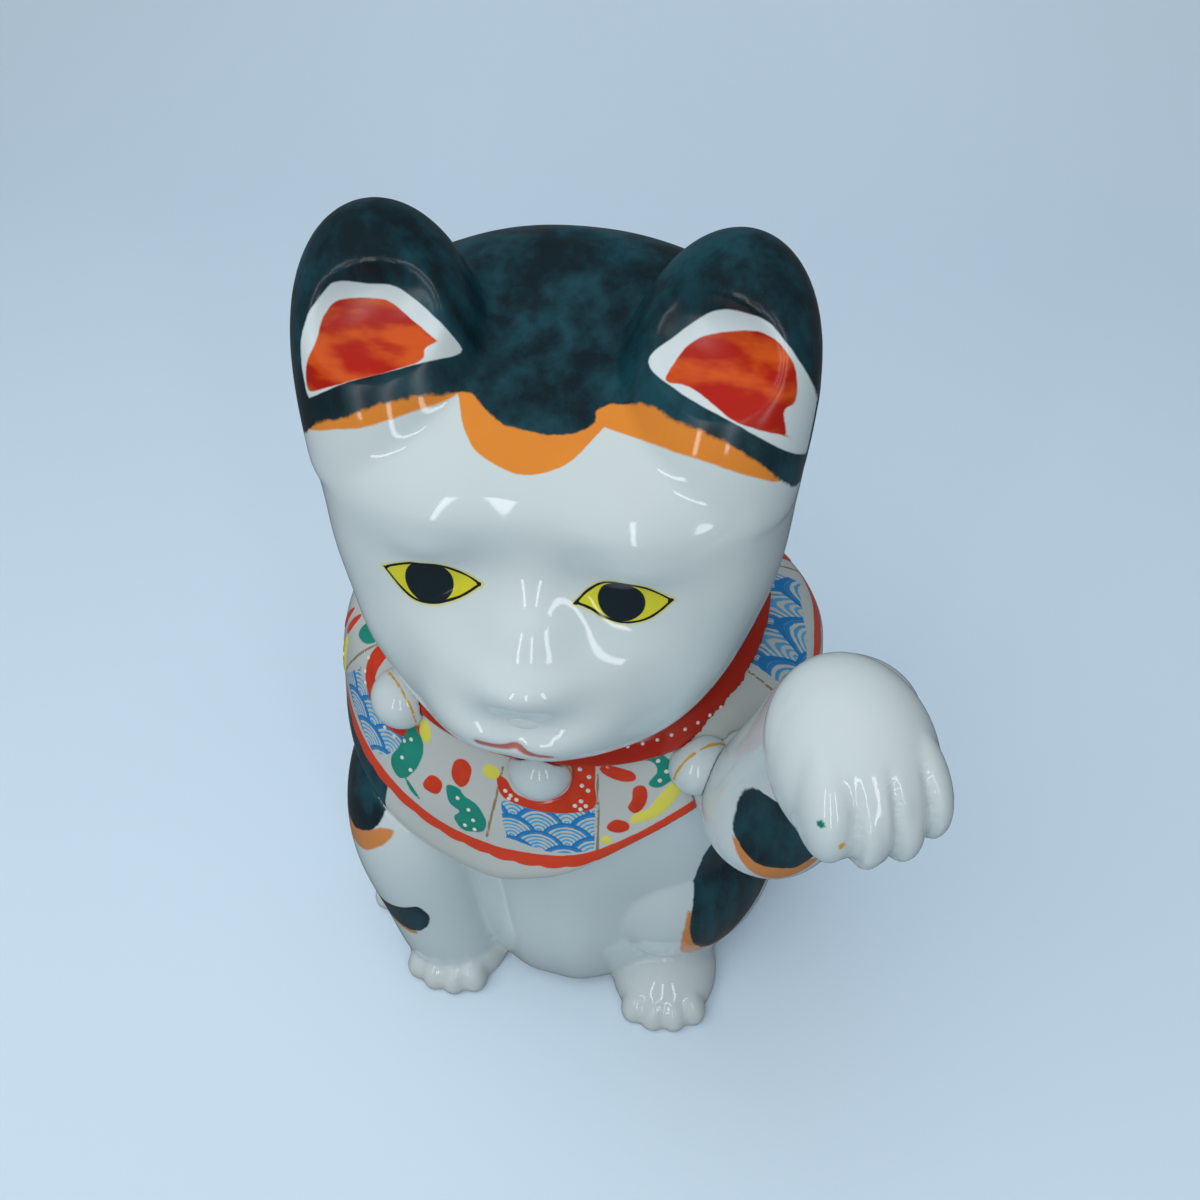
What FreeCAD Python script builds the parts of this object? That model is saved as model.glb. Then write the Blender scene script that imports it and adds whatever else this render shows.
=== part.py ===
"""Beckoning cat: a hollow, slip-cast porcelain figurine, put together from separately moulded castings.

Millimetres, +Z up. The origin is the middle of the flat base. The cat looks along -Y, and +X is the cat's left.
The torso and the head are hollow castings that meet at the neck. The ears, forelegs, hind feet, tail, collar, bib
and bells are clay pieces luted on: each is trimmed to the castings that carry it, so that they meet face to face.
"""

import FreeCAD
import Part
import math
import os

V = FreeCAD.Vector

# Castings
WALL = 5.0                   # thickness of the cast porcelain
FLOOR = 6.0                  # thickness of the base
VENT_RADIUS = 5.0            # hole in the base that lets steam out in the kiln
VENT_BACK = 24.0             # how far behind the middle of the base it lies

# Torso
TORSO_HEIGHT = 158.0         # floor to the neck joint
TORSO_HALF_WIDTH = 74.0
TORSO_FRONT = 62.0           # from the axis to the belly
TORSO_BACK = 74.0            # from the axis to the back
BELLY_SWELL = 5.0
HAUNCH_REACH = 77.5          # from the axis to the haunches' outermost points
HAUNCH_RADII = (38.0, 32.0, 50.0)         # across, outward and up
HAUNCH_HEIGHT = 50.0         # of their middles
LEFT_HAUNCH_ANGLE = 57.0     # degrees from the front
RIGHT_HAUNCH_ANGLE = -86.0
THIGH_SWELL = 6.0            # behind the flanks
THIGH_ANGLE = 128.0          # degrees either side of the front
SPINE_SWELL = 3.0
SHOULDER_SWELL = 4.0         # over the standing foreleg
SHOULDER_ANGLE = -48.0       # degrees from the front
GROOVE_DEPTH = 4.5           # crease between belly and haunch
GROOVE_ANGLE = 25.0          # degrees either side of the front

# Head
HEAD_HEIGHT = 110.0          # neck joint to crown
HEAD_HALF_WIDTH = 64.0
HEAD_FRONT = 50.0
HEAD_BACK = 50.0
HEAD_AHEAD = 7.0             # the head's axis lies this far in front of the torso's
MUZZLE_REACH = 17.0
MUZZLE_SPREAD = 25.0         # degrees either side of the nose
NOSE_REACH = 2.5             # the bridge of the nose stands off the muzzle and the brow
CHIN_SET_BACK = 4.0          # under the mouth
BROW_SWELL = 3.0
EYE_SOCKET_DEPTH = 3.5
EYE_ANGLE = 29.0             # degrees either side of the nose

# Ears
EAR_SINK = 40.0              # from the crown down to the root, inside the head
EAR_RISE = 17.0              # from the crown up to the tip
EAR_ROOT_INSET = 28.0        # from the head's widest line in to the root
EAR_TIP_INSET = 20.0
EAR_ROOT_AHEAD = 17.0        # of the head's axis
EAR_TIP_BEHIND = 1.0
EAR_HALF_WIDTH = 26.0
EAR_HALF_DEPTH = 21.0
EAR_TURN = 22.0              # degrees that the outer edge is turned forward
EAR_FACE_INSET = 23.0        # the middle of the hollowed face: from the head's widest line in,
EAR_FACE_AHEAD = 20.0        # ahead of the head's axis
EAR_FACE_DROP = 2.5          # and below the crown
EAR_FACE_OUTWARD = (-0.18, -0.71, 0.68)
EAR_FACE_ACROSS = (0.92, -0.38, -0.16)
EAR_FACE_RADII = (22.5, 13.5, 8.0)        # of the hollow: across, up and outward
EAR_FACE_LIFT = 4.0          # the hollow's middle stands this far off the ear

# Limbs
TOES = 4
PAW_HALF_WIDTH = 19.5
PAW_REACH = 25.0
PAW_HEIGHT = 21.0
PAW_SOLE = 3.0               # height of the paw's broadest level
PAWS_TURNED_OUT = 8.0        # degrees
PAW_TOE_LEVEL = 4.0          # height of the toes' middles
PAW_TOE_HALF_LENGTH = 9.6
PAW_TOE_HALF_WIDTH = 6.3
PAW_TOE_HALF_HEIGHT = 9.5
PAW_TOE_SPREAD = 21.0        # degrees from one toe to the next
LEFT_FOOT = (36.5, -50.0)
RIGHT_FOOT = (-62.0, -26.0)
STANDING_PAW = (-42.0, -50.0)
HAND_HALF_WIDTH = 19.5
HAND_HALF_LENGTH = 24.0
HAND_HALF_DEPTH = 18.0
HAND_TURN = 27.0             # degrees that the hand is turned outward
HAND_DROOP = 27.0            # degrees that the hand hangs below level
FINGER_HALF_WIDTH = 7.2
FINGER_HALF_LENGTH = 16.0
FINGER_HALF_DEPTH = 11.5
FINGER_DROOP = 42.0
SHOULDER_RADIUS = 17.0
SHOULDER_HALF_LENGTH = 32.0
SHOULDER_TURN = 40.0         # degrees that the upper arm is turned across the body
TAIL_RADIUS = 12.0
TAIL_HALF_LENGTH = 20.0
TAIL_HEIGHT = 30.0
TAIL_ASIDE = 8.0
TAIL_LEAN = -12.0

# Dress
BIB_THICKNESS = 4.0
BIB_TOP_DROP = 3.0           # the bib's top edge lies this far below the neck joint
COLLAR_DROP = 6.0
COLLAR_HALF_WIDTH = 58.0     # its outline as seen from above
COLLAR_FRONT = 58.0
COLLAR_BACK = 50.0
BELL_RADIUS = 9.5
BELL_SINK = 1.0              # the bells' middles lie this far under the face of the bib
MIDDLE_BELL = (0.0, 10.5)    # degrees from the front, and how far below the collar
LEFT_BELL = (42.0, 10.5)
RIGHT_BELL = (-44.0, 4.0)

TURN = 360.0
OUTLINE_POINTS = 36          # points round a casting's section
LIMB_POINTS = 12
NECK = TORSO_HEIGHT
CROWN = TORSO_HEIGHT + HEAD_HEIGHT
ROOM = 2 * (TORSO_HEIGHT + HEAD_HEIGHT)   # larger than the figurine


def unit(angle):
    """Outward direction at an angle from the front, turning towards the cat's left."""
    turn = math.radians(angle)
    return V(math.sin(turn), -math.cos(turn), 0)


def swell(value, middle, spread):
    """1 at the middle, falling smoothly to 0."""
    return math.exp(-((value - middle) / spread) ** 2)


def from_front(angle):
    """The same angle between half a turn to the cat's right and half a turn to its left."""
    return (angle + TURN / 2) % TURN - TURN / 2


def side_of(angle):
    """How many degrees an angle lies to either side of the front."""
    return abs(from_front(angle))


def profile(stations, share):
    """The figures of a station table at a share of the height, on a smooth curve through its rows."""
    rows = [stations[0]] + list(stations) + [stations[-1]]
    for before, low, high, after in zip(rows, rows[1:], rows[2:], rows[3:]):
        if share <= high[0]:
            break
    span = high[0] - low[0]
    t = min(max((share - low[0]) / span, 0.0), 1.0)
    found = []
    for k in range(1, len(low)):
        rise_low = (high[k] - before[k]) / max(high[0] - before[0], span) * span
        rise_high = (after[k] - low[k]) / max(after[0] - low[0], span) * span
        value = low[k] * (1 + 2 * t) * (1 - t) ** 2 + rise_low * t * (1 - t) ** 2
        value += high[k] * t * t * (3 - 2 * t) + rise_high * t * t * (t - 1)
        found.append(value)
    return found


def egg_radius(angle, half_width, front, back, square=2.2):
    """Distance from the axis to a rounded outline whose front and back differ in depth."""
    turn = math.radians(angle)
    depth = front if math.cos(turn) > 0 else back
    across = abs(math.sin(turn)) / half_width
    along = abs(math.cos(turn)) / depth
    return (across ** square + along ** square) ** (-1 / square)


def closed_curve(points):
    """Smooth closed curve with even parameters, so that neighbouring sections line up."""
    count = len(points)
    curve = Part.BSplineCurve()
    curve.interpolate(Points=points, PeriodicFlag=True, Parameters=[i / count for i in range(count + 1)])
    return Part.Wire(curve.toShape())


def skin(sections, first=None, last=None):
    """Solid lofted through sections of points, drawn to a point at an end where one is given."""
    ends_before = [Part.Vertex(first)] if first else []
    ends_after = [Part.Vertex(last)] if last else []
    rings = [closed_curve(section) for section in sections]
    return Part.makeLoft(ends_before + rings + ends_after, True, False, False, 3)


def level_ring(radius_at, height, middle_y=0.0):
    """Points round an upright axis at one height."""
    angles = [TURN * i / OUTLINE_POINTS for i in range(OUTLINE_POINTS)]
    return [V(0, middle_y, height) + unit(angle) * radius_at(angle, height) for angle in angles]


def round_ring(centre, across, along, half_width, half_depth):
    """Points of an ellipse about a centre, on two square directions."""
    turns = [2 * math.pi * i / LIMB_POINTS for i in range(LIMB_POINTS)]
    return [centre + across * (half_width * math.cos(t)) + along * (half_depth * math.sin(t)) for t in turns]


def ellipsoid(centre, half_width, half_length, half_height, yaw=0.0, pitch=0.0):
    """Rounded lump, its length along Y before it is turned."""
    ball = Part.makeSphere(1.0)
    shape = ball.transformGeometry(FreeCAD.Matrix(half_width, 0, 0, 0, 0, half_length, 0, 0, 0, 0, half_height, 0))
    shape.Placement = FreeCAD.Placement(centre, FreeCAD.Rotation(yaw, 0, pitch))
    return shape


def lump(middle, axes, radii):
    """Ellipsoid about a middle, with its radii along three square directions."""
    columns = [axis * radius for axis, radius in zip(axes, radii)]
    matrix = FreeCAD.Matrix(
        columns[0].x, columns[1].x, columns[2].x, middle.x,
        columns[0].y, columns[1].y, columns[2].y, middle.y,
        columns[0].z, columns[1].z, columns[2].z, middle.z,
    )
    return Part.makeSphere(1.0).transformGeometry(matrix)


def mirrored(place, side):
    """A place or direction given for the cat's left side (1), taken to either side."""
    return V(side * place[0], place[1], place[2])


def above_floor(shape):
    return shape.common(Part.makeBox(ROOM, ROOM, ROOM, V(-ROOM / 2, -ROOM / 2, 0)))


# share of the height, then shares of the half width, the front and the back
TORSO_STATIONS = (
    (0.00, 0.88, 0.88, 0.90),
    (0.05, 0.95, 0.95, 0.98),
    (0.20, 0.99, 1.00, 1.02),
    (0.40, 0.99, 1.01, 0.97),
    (0.60, 0.99, 1.04, 0.86),
    (0.75, 1.00, 1.01, 0.78),
    (0.86, 0.99, 0.93, 0.72),
    (0.93, 0.94, 0.86, 0.66),
    (0.965, 0.85, 0.82, 0.60),
    (0.985, 0.72, 0.79, 0.52),
    (1.000, 0.56, 0.76, 0.43),
)
TORSO_LEVELS = (0, 0.01, 0.03, 0.065, 0.13, 0.20, 0.28, 0.36, 0.45, 0.54, 0.63, 0.72, 0.80, 0.87, 0.92, 0.96,
                0.985, 1.0)
BASE_ROUNDING = (3.5, 1.2, 0.0)           # how far the lowest levels are drawn in


# how far out, at which angle from the front and how wide, at which share of the height and how tall
TORSO_SWELLS = (
    (BELLY_SWELL, 0.0, 24.0, 0.20, 0.30),
    (THIGH_SWELL, THIGH_ANGLE, 26.0, 0.20, 0.22),
    (SPINE_SWELL, TURN / 2, 18.0, 0.55, 0.30),
    (-GROOVE_DEPTH, GROOVE_ANGLE, 6.0, 0.25, 0.35),
)
SHOULDER_SPREAD = 22.0
SHOULDER_LEVEL = 0.66
SHOULDER_TALL = 0.15


def swells_at(swells, side, share):
    """Sum of the swells (and hollows) at an angle from the front and a share of the height."""
    return sum(out * swell(side, angle, wide) * swell(share, level, tall) for out, angle, wide, level, tall in swells)


def torso_radius(angle, height):
    share = height / TORSO_HEIGHT
    width, front, back = profile(TORSO_STATIONS, share)
    side = side_of(angle)
    radius = egg_radius(angle, width * TORSO_HALF_WIDTH, front * TORSO_FRONT, back * TORSO_BACK)
    shoulder = SHOULDER_SWELL * swell(from_front(angle), SHOULDER_ANGLE, SHOULDER_SPREAD)
    radius += shoulder * swell(share, SHOULDER_LEVEL, SHOULDER_TALL)
    return radius + swells_at(TORSO_SWELLS, side, share)


def torso_form(inset, bottom):
    rings = []
    for i, share in enumerate(TORSO_LEVELS):
        height = bottom + share * (TORSO_HEIGHT - bottom)
        rounding = BASE_ROUNDING[i] if i < len(BASE_ROUNDING) else 0.0
        rings.append(level_ring(lambda angle, z, r=rounding: torso_radius(angle, z) - inset - r, height))
    return skin(rings)


# share of the height, shares of the half width, the front and the back, and the middle's shift to the back
HEAD_STATIONS = (
    (0.000, 0.62, 0.84, 0.68, 0.0),
    (0.030, 0.68, 1.02, 0.73, 0.0),
    (0.075, 0.73, 1.15, 0.78, 0.0),
    (0.140, 0.80, 1.13, 0.84, 0.0),
    (0.270, 0.89, 1.06, 0.94, 0.0),
    (0.410, 0.95, 1.00, 1.02, 0.0),
    (0.565, 0.97, 0.92, 1.05, 0.0),
    (0.690, 0.98, 0.82, 0.98, 0.0),
    (0.810, 0.94, 0.70, 0.76, 8.0),
    (0.873, 0.78, 0.55, 0.56, 15.0),
    (0.927, 0.56, 0.36, 0.38, 19.0),
    (0.964, 0.38, 0.24, 0.25, 20.5),
    (0.987, 0.22, 0.14, 0.15, 21.0),
    (1.000, 0.05, 0.03, 0.04, 21.0),
)
# how far out, at which angle from the front and how wide, at which share of the height and how tall
HEAD_SWELLS = (
    (NOSE_REACH, 0.0, 11.0, 0.33, 0.12),
    (-CHIN_SET_BACK, 0.0, 22.0, 0.06, 0.06),
    (BROW_SWELL, EYE_ANGLE, 14.0, 0.66, 0.08),
    (-EYE_SOCKET_DEPTH, EYE_ANGLE - 7.0, 12.0, 0.49, 0.09),
)
MUZZLE_LEVEL = 0.22
MUZZLE_TALL = 0.17
FACE_SQUARENESS = 3.3        # the face is broad and flat, the back of the head rounder
BACK_SQUARENESS = 2.2


def head_ring(share, inset):
    """Points of the head's outline at a share of its height, drawn in by the inset."""
    width, front, back, shift = profile(HEAD_STATIONS, share)
    points = []
    for i in range(OUTLINE_POINTS):
        angle = TURN * i / OUTLINE_POINTS
        side = side_of(angle)
        square = FACE_SQUARENESS if side < TURN / 4 else BACK_SQUARENESS
        radius = egg_radius(angle, width * HEAD_HALF_WIDTH, front * HEAD_FRONT, back * HEAD_BACK, square)
        muzzle = math.exp(-(side / MUZZLE_SPREAD) ** 3) * swell(share, MUZZLE_LEVEL, MUZZLE_TALL)
        radius += MUZZLE_REACH * muzzle + swells_at(HEAD_SWELLS, side, share)
        height = TORSO_HEIGHT + share * (HEAD_HEIGHT - inset)
        points.append(V(0, shift - HEAD_AHEAD, height) + unit(angle) * (radius - inset))
    return points


HOLLOW_TO = 0.97             # share of the head's height that its hollow reaches
HEAD_LEVELS = (0, 0.03, 0.075, 0.13, 0.19, 0.25, 0.32, 0.40, 0.48, 0.56, 0.64, 0.71, 0.77, 0.83, 0.88, 0.93, 0.965,
               0.988, 0.998)


def make_haunch(angle):
    """Thigh of a folded hind leg, that stands off the torso with a crease round it."""
    outward = unit(angle)
    middle = outward * (HAUNCH_REACH - HAUNCH_RADII[1]) + V(0, 0, HAUNCH_HEIGHT)
    return lump(middle, (unit(angle + TURN / 4), outward, V(0, 0, 1)), HAUNCH_RADII)


def make_torso():
    outside = torso_form(0.0, 0.0)
    haunches = [make_haunch(angle) for angle in (LEFT_HAUNCH_ANGLE, RIGHT_HAUNCH_ANGLE)]
    outside = outside.multiFuse(haunches)
    cavity = torso_form(WALL, FLOOR)
    vent = Part.makeCylinder(VENT_RADIUS, 2 * FLOOR, V(0, VENT_BACK, -FLOOR / 2))
    return outside, outside.cut(cavity).cut(vent)


def make_head():
    outside = skin([head_ring(share, 0.0) for share in HEAD_LEVELS])
    cavity = skin([head_ring(share, WALL) for share in HEAD_LEVELS if share < HOLLOW_TO])
    return outside, outside.cut(cavity)


EAR_LEVELS = (0.0, 0.2, 0.38, 0.55, 0.70, 0.82, 0.91, 0.97)


def make_ear(side, head_outside):
    """Thick rounded ear, whose hollowed face looks forward and up."""
    root = V(side * (HEAD_HALF_WIDTH - EAR_ROOT_INSET), -HEAD_AHEAD - EAR_ROOT_AHEAD, CROWN - EAR_SINK)
    tip = V(side * (HEAD_HALF_WIDTH - EAR_TIP_INSET), EAR_TIP_BEHIND - HEAD_AHEAD, CROWN + EAR_RISE)
    turn = math.radians(EAR_TURN)
    across = V(math.cos(turn), -side * math.sin(turn), 0)
    along = V(side * math.sin(turn), math.cos(turn), 0)
    rings = []
    for share in EAR_LEVELS:
        fullness = math.sqrt(1 - share ** 3)
        middle = root + (tip - root) * share
        rings.append(round_ring(middle, across, along, EAR_HALF_WIDTH * fullness, EAR_HALF_DEPTH * fullness))
    ear = skin(rings, last=tip)
    outward = mirrored(EAR_FACE_OUTWARD, side).normalize()
    sideways = mirrored(EAR_FACE_ACROSS, side)
    upward = outward.cross(sideways).normalize()
    face = V(side * (HEAD_HALF_WIDTH - EAR_FACE_INSET), -HEAD_AHEAD - EAR_FACE_AHEAD, CROWN - EAR_FACE_DROP)
    middle = face + outward * EAR_FACE_LIFT
    hollow = lump(middle, (upward.cross(outward), upward, outward), EAR_FACE_RADII)
    return ear.cut(hollow).cut(head_outside)


def make_foot(middle_x, middle_y, heading):
    """Low paw, flat underneath, with four toes in front."""
    body = ellipsoid(V(middle_x, middle_y, PAW_SOLE), PAW_HALF_WIDTH, PAW_REACH - PAW_SOLE, PAW_HEIGHT - PAW_SOLE,
                     heading)
    reach = PAW_REACH - PAW_TOE_HALF_HEIGHT
    toes = []
    for i in range(TOES):
        turn = heading + (i - (TOES - 1) / 2) * PAW_TOE_SPREAD
        centre = V(middle_x, middle_y, PAW_TOE_LEVEL) + unit(turn) * reach
        toes.append(ellipsoid(centre, PAW_TOE_HALF_WIDTH, PAW_TOE_HALF_LENGTH, PAW_TOE_HALF_HEIGHT, turn))
    return above_floor(body.multiFuse(toes))


def make_hind_foot(place, heading, carriers):
    foot = make_foot(place[0], place[1], heading)
    for carrier in carriers:
        foot = foot.cut(carrier)
    return foot


def limb(rows, outer_x, low, high):
    """Column through rows of height, way out from a line, way forward and radius, with a rounded end or two."""
    def place(row):
        return V(outer_x + row[1], row[2], row[0])
    rings = [round_ring(place(row), V(1, 0, 0), V(0, 1, 0), row[3], row[3]) for row in rows]
    return skin(rings, first=low and place(low), last=high and place(high))


# height, then how far out from the torso's widest line and forward, and the radius
STANDING_LEG = (
    (0.0, 31.0, -49.0, 17.5),
    (8.0, 30.0, -49.0, 19.5),
    (25.0, 28.0, -48.5, 20.5),
    (45.0, 26.0, -47.5, 21.5),
    (70.0, 24.0, -45.0, 23.5),
    (92.0, 24.5, -40.0, 24.0),
    (106.0, 26.0, -35.0, 22.5),
    (118.0, 29.0, -29.0, 18.5),
)
STANDING_LEG_TOP = (127.0, 32.0, -23.0)


def make_standing_foreleg(torso_outside, bib):
    column = limb(STANDING_LEG, -TORSO_HALF_WIDTH, None, STANDING_LEG_TOP)
    paw = make_foot(STANDING_PAW[0], STANDING_PAW[1], -PAWS_TURNED_OUT / 2)
    return above_floor(column.fuse(paw)).cut(torso_outside).cut(bib)


# height over the neck joint, then how far out from the torso's widest line and forward, and the radius
FOREARM = (
    (-37.5, -8.0, -59.0, 8.5),
    (-32.5, -8.0, -58.5, 15.0),
    (-23.0, -7.5, -58.0, 19.8),
    (-10.0, -5.0, -57.5, 20.5),
    (10.0, 0.0, -59.5, 19.0),
    (28.0, 4.0, -63.0, 18.5),
    (42.0, 6.0, -67.0, 17.0),
    (51.0, 7.0, -71.0, 12.0),
)
ELBOW_END = (-40.0, -8.0, -59.0)
WRIST_END = (55.0, 7.0, -72.0)
SHOULDER = (-20.0, -28.0)                 # the middle of the upper arm's inner end: out, and over the neck joint
SHOULDER_AHEAD = 40.0
HAND = (7.0, -82.0, 44.8)                 # out from the torso's widest line, forward, over the neck joint
# the fingers' middles from the hand's: across, ahead and up
FINGERS = ((-10.2, 7.0, 1.0), (-3.6, 9.8, -0.8), (3.8, 9.8, -1.8), (10.4, 7.5, 0.0))


def make_raised_foreleg(torso_outside):
    def raised(row):
        return (row[0] + NECK,) + row[1:]
    forearm = limb([raised(row) for row in FOREARM], TORSO_HALF_WIDTH, raised(ELBOW_END), raised(WRIST_END))
    inner_end = V(TORSO_HALF_WIDTH + SHOULDER[0], -SHOULDER_AHEAD, NECK + SHOULDER[1])
    upper_arm = ellipsoid(inner_end, SHOULDER_RADIUS, SHOULDER_HALF_LENGTH, SHOULDER_RADIUS, SHOULDER_TURN)
    middle = V(TORSO_HALF_WIDTH + HAND[0], HAND[1], NECK + HAND[2])
    hand = ellipsoid(middle, HAND_HALF_WIDTH, HAND_HALF_LENGTH, HAND_HALF_DEPTH, HAND_TURN, HAND_DROOP)
    fingers = []
    for across, ahead, up in FINGERS:
        knuckle = middle + unit(HAND_TURN + TURN / 4) * across + unit(HAND_TURN) * ahead + V(0, 0, up)
        fingers.append(ellipsoid(knuckle, FINGER_HALF_WIDTH, FINGER_HALF_LENGTH, FINGER_HALF_DEPTH,
                                 HAND_TURN + across, FINGER_DROOP))
    return forearm.multiFuse([upper_arm, hand] + fingers).cut(torso_outside)


def make_tail(torso_outside):
    middle = V(TAIL_ASIDE, TORSO_BACK, TAIL_HEIGHT)
    stump = ellipsoid(middle, TAIL_RADIUS, TAIL_RADIUS, TAIL_HALF_LENGTH, 0, TAIL_LEAN)
    return stump.cut(torso_outside)


# degrees from the front, then how far the lower border lies below the neck joint
BIB_BORDER = (
    (-180.0, 30.0),
    (-120.0, 38.0),
    (-80.0, 43.0),
    (-55.0, 48.0),
    (-40.0, 59.0),
    (-27.0, 68.0),
    (-10.0, 67.0),
    (8.0, 56.0),
    (26.0, 41.0),
    (48.0, 29.0),
    (90.0, 20.0),
    (135.0, 25.0),
    (180.0, 30.0),
)


def bib_border(angle):
    """Height of the lower border: low at the breast, high behind the raised foreleg."""
    return NECK - profile(BIB_BORDER, from_front(angle))[0]


FLARE_ANGLE = -8.0           # the hem stands off most here
FLARE_SPREAD = 42.0
BIB_CORE = -3.0              # how many thicknesses inside the torso's face the cape is closed
# share of the way from border to top, then share of the thickness, and how much more where the hem flares
BIB_PROFILE = (
    (-0.05, -1.00, 0.00),
    (0.00, 0.00, 0.15),
    (0.015, 0.60, 0.50),
    (0.05, 0.90, 0.75),
    (0.11, 1.00, 0.80),
    (0.22, 1.00, 0.50),
    (0.40, 1.00, 0.20),
    (0.60, 1.00, 0.00),
    (0.80, 1.00, 0.00),
    (0.90, 1.00, 0.00),
)


def dressed_ring(height_at, thickness_at):
    """Points off the torso's face by so many times the bib's thickness, each at its own height."""
    points = []
    for i in range(OUTLINE_POINTS):
        angle = TURN * i / OUTLINE_POINTS
        height = height_at(angle)
        thickness = thickness_at(angle)
        points.append(V(0, 0, height) + unit(angle) * (torso_radius(angle, height) + thickness * BIB_THICKNESS))
    return points


def make_bib(torso_outside, others):
    """Cape round the shoulders with a flared, rounded hem, lofted from inside the torso over its face."""
    top = NECK - BIB_TOP_DROP
    middle = NECK - max(drop for angle, drop in BIB_BORDER) / 2
    rings = [dressed_ring(lambda angle: middle, lambda angle: BIB_CORE)]
    for share, thickness, flare in BIB_PROFILE:
        rings.append(dressed_ring(
            lambda angle, share=share: bib_border(angle) + (top - bib_border(angle)) * share,
            lambda angle, flat=thickness, more=flare: flat + more * swell(from_front(angle), FLARE_ANGLE, FLARE_SPREAD),
        ))
    rings.append(dressed_ring(lambda angle: top, lambda angle: 1.0))
    cape = skin(rings).cut(torso_outside)
    for other in others:
        cape = cape.cut(other)
    return cape


# height over the collar's middle and distance out from its outline
COLLAR_PROFILE = ((-7.0, -3.0), (-5.2, 2.4), (-3.0, 3.8), (0.0, 3.0), (3.0, 1.4), (5.2, -1.0), (7.0, -6.0))


def make_collar(carriers):
    """Flat band round the neck, lying on the bib's top edge and leaning in to the neck."""
    rings = []
    for lift, out in COLLAR_PROFILE:
        rings.append(level_ring(
            lambda angle, z, out=out: egg_radius(angle, COLLAR_HALF_WIDTH, COLLAR_FRONT, COLLAR_BACK) + out,
            NECK - COLLAR_DROP + lift,
        ))
    band = skin(rings)
    for carrier in carriers:
        band = band.cut(carrier)
    return band


def make_bell(place, carriers):
    """Small round bell, half sunk in the bib just under the collar."""
    angle, drop = place
    height = NECK - COLLAR_DROP - drop
    distance = torso_radius(angle, height) + BIB_THICKNESS - BELL_SINK
    middle = V(0, 0, height) + unit(angle) * distance
    bell = Part.makeSphere(BELL_RADIUS, middle)
    for carrier in carriers:
        bell = bell.cut(carrier)
    return bell


def main():
    os.makedirs("parts", exist_ok=True)
    torso_outside, torso = make_torso()
    head_outside, head = make_head()
    raised = make_raised_foreleg(torso_outside)
    bib = make_bib(torso_outside, (raised, head_outside))
    standing = make_standing_foreleg(torso_outside, bib)
    collar = make_collar((torso_outside, head_outside, bib, raised))
    clothed = (torso_outside, bib, collar, raised, head_outside)
    nodes = {
        "torso": torso,
        "head": head,
        "ear_left": make_ear(1, head_outside),
        "ear_right": make_ear(-1, head_outside),
        "foreleg_raised": raised,
        "foreleg_standing": standing,
        "hind_foot_left": make_hind_foot(LEFT_FOOT, PAWS_TURNED_OUT, (torso_outside,)),
        "hind_foot_right": make_hind_foot(RIGHT_FOOT, -PAWS_TURNED_OUT, (torso_outside, standing)),
        "tail": make_tail(torso_outside),
        "bib": bib,
        "collar": collar,
        "bell_middle": make_bell(MIDDLE_BELL, clothed),
        "bell_left": make_bell(LEFT_BELL, clothed),
        "bell_right": make_bell(RIGHT_BELL, clothed),
    }
    for name, shape in nodes.items():
        shape.exportStep("parts/" + name + ".step")


main()
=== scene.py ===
"""Beckoning cat: the painted, glazed figurine on a pale studio sweep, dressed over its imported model.

Everything is in metres in the model's own frame: +Z is up, the origin is the middle of the flat base, the
cat looks along -Y and +X is the cat's left. Swellings and painted outlines are given in millimetres; the
outlines are drawn on flat views of the castings, round the crown of the head or round the bib.
"""

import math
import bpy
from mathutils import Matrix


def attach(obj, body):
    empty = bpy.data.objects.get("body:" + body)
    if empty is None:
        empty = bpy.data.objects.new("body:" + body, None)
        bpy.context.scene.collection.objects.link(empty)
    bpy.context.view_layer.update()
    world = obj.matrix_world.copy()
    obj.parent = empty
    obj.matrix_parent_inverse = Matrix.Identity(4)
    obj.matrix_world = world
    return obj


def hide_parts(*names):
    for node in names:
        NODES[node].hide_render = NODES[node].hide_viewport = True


bl_info = {
    "name": "Beckoning Cat",
    "version": (1, 0, 0),
    "blender": (4, 5, 0),
    "location": "3D View > Sidebar > Beckoning Cat",
    "description": "Glazed castings, painted patches and eyes, enamelled bib, collar and bells of a cat",
    "category": "Object",
}

import bpy
import numpy as np
from bpy.props import FloatProperty, FloatVectorProperty, IntProperty, PointerProperty
from mathutils import Matrix, Vector
from mathutils.bvhtree import BVHTree

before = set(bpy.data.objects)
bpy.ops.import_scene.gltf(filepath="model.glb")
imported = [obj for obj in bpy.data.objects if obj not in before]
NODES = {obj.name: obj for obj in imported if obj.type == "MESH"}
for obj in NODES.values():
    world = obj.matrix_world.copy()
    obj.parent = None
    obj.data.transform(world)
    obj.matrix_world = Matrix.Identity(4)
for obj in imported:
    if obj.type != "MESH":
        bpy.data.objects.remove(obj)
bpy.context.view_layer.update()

MM = 0.001

HEAD_NODES = ("head", "ear_left", "ear_right")
BODY_NODES = ("torso", "foreleg_raised", "foreleg_standing", "hind_foot_left", "hind_foot_right", "tail")


# ---------------------------------------------------------------- handling pieces

def deselect():
    bpy.ops.object.select_all(action="DESELECT")


def pick(piece):
    """Makes one piece the only one selected, and active."""
    deselect()
    piece.select_set(True)
    bpy.context.view_layer.objects.active = piece


def apply_modifier(piece, kind, **settings):
    pick(piece)
    modifier = piece.modifiers.new(kind.title(), kind)
    for name, value in settings.items():
        setattr(modifier, name, value)
    bpy.ops.object.modifier_apply(modifier=modifier.name)


def join(pieces, name):
    deselect()
    for piece in pieces:
        piece.select_set(True)
    bpy.context.view_layer.objects.active = pieces[0]
    bpy.ops.object.join()
    joined = bpy.context.view_layer.objects.active
    joined.name = name
    joined.data.name = name
    return joined


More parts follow.
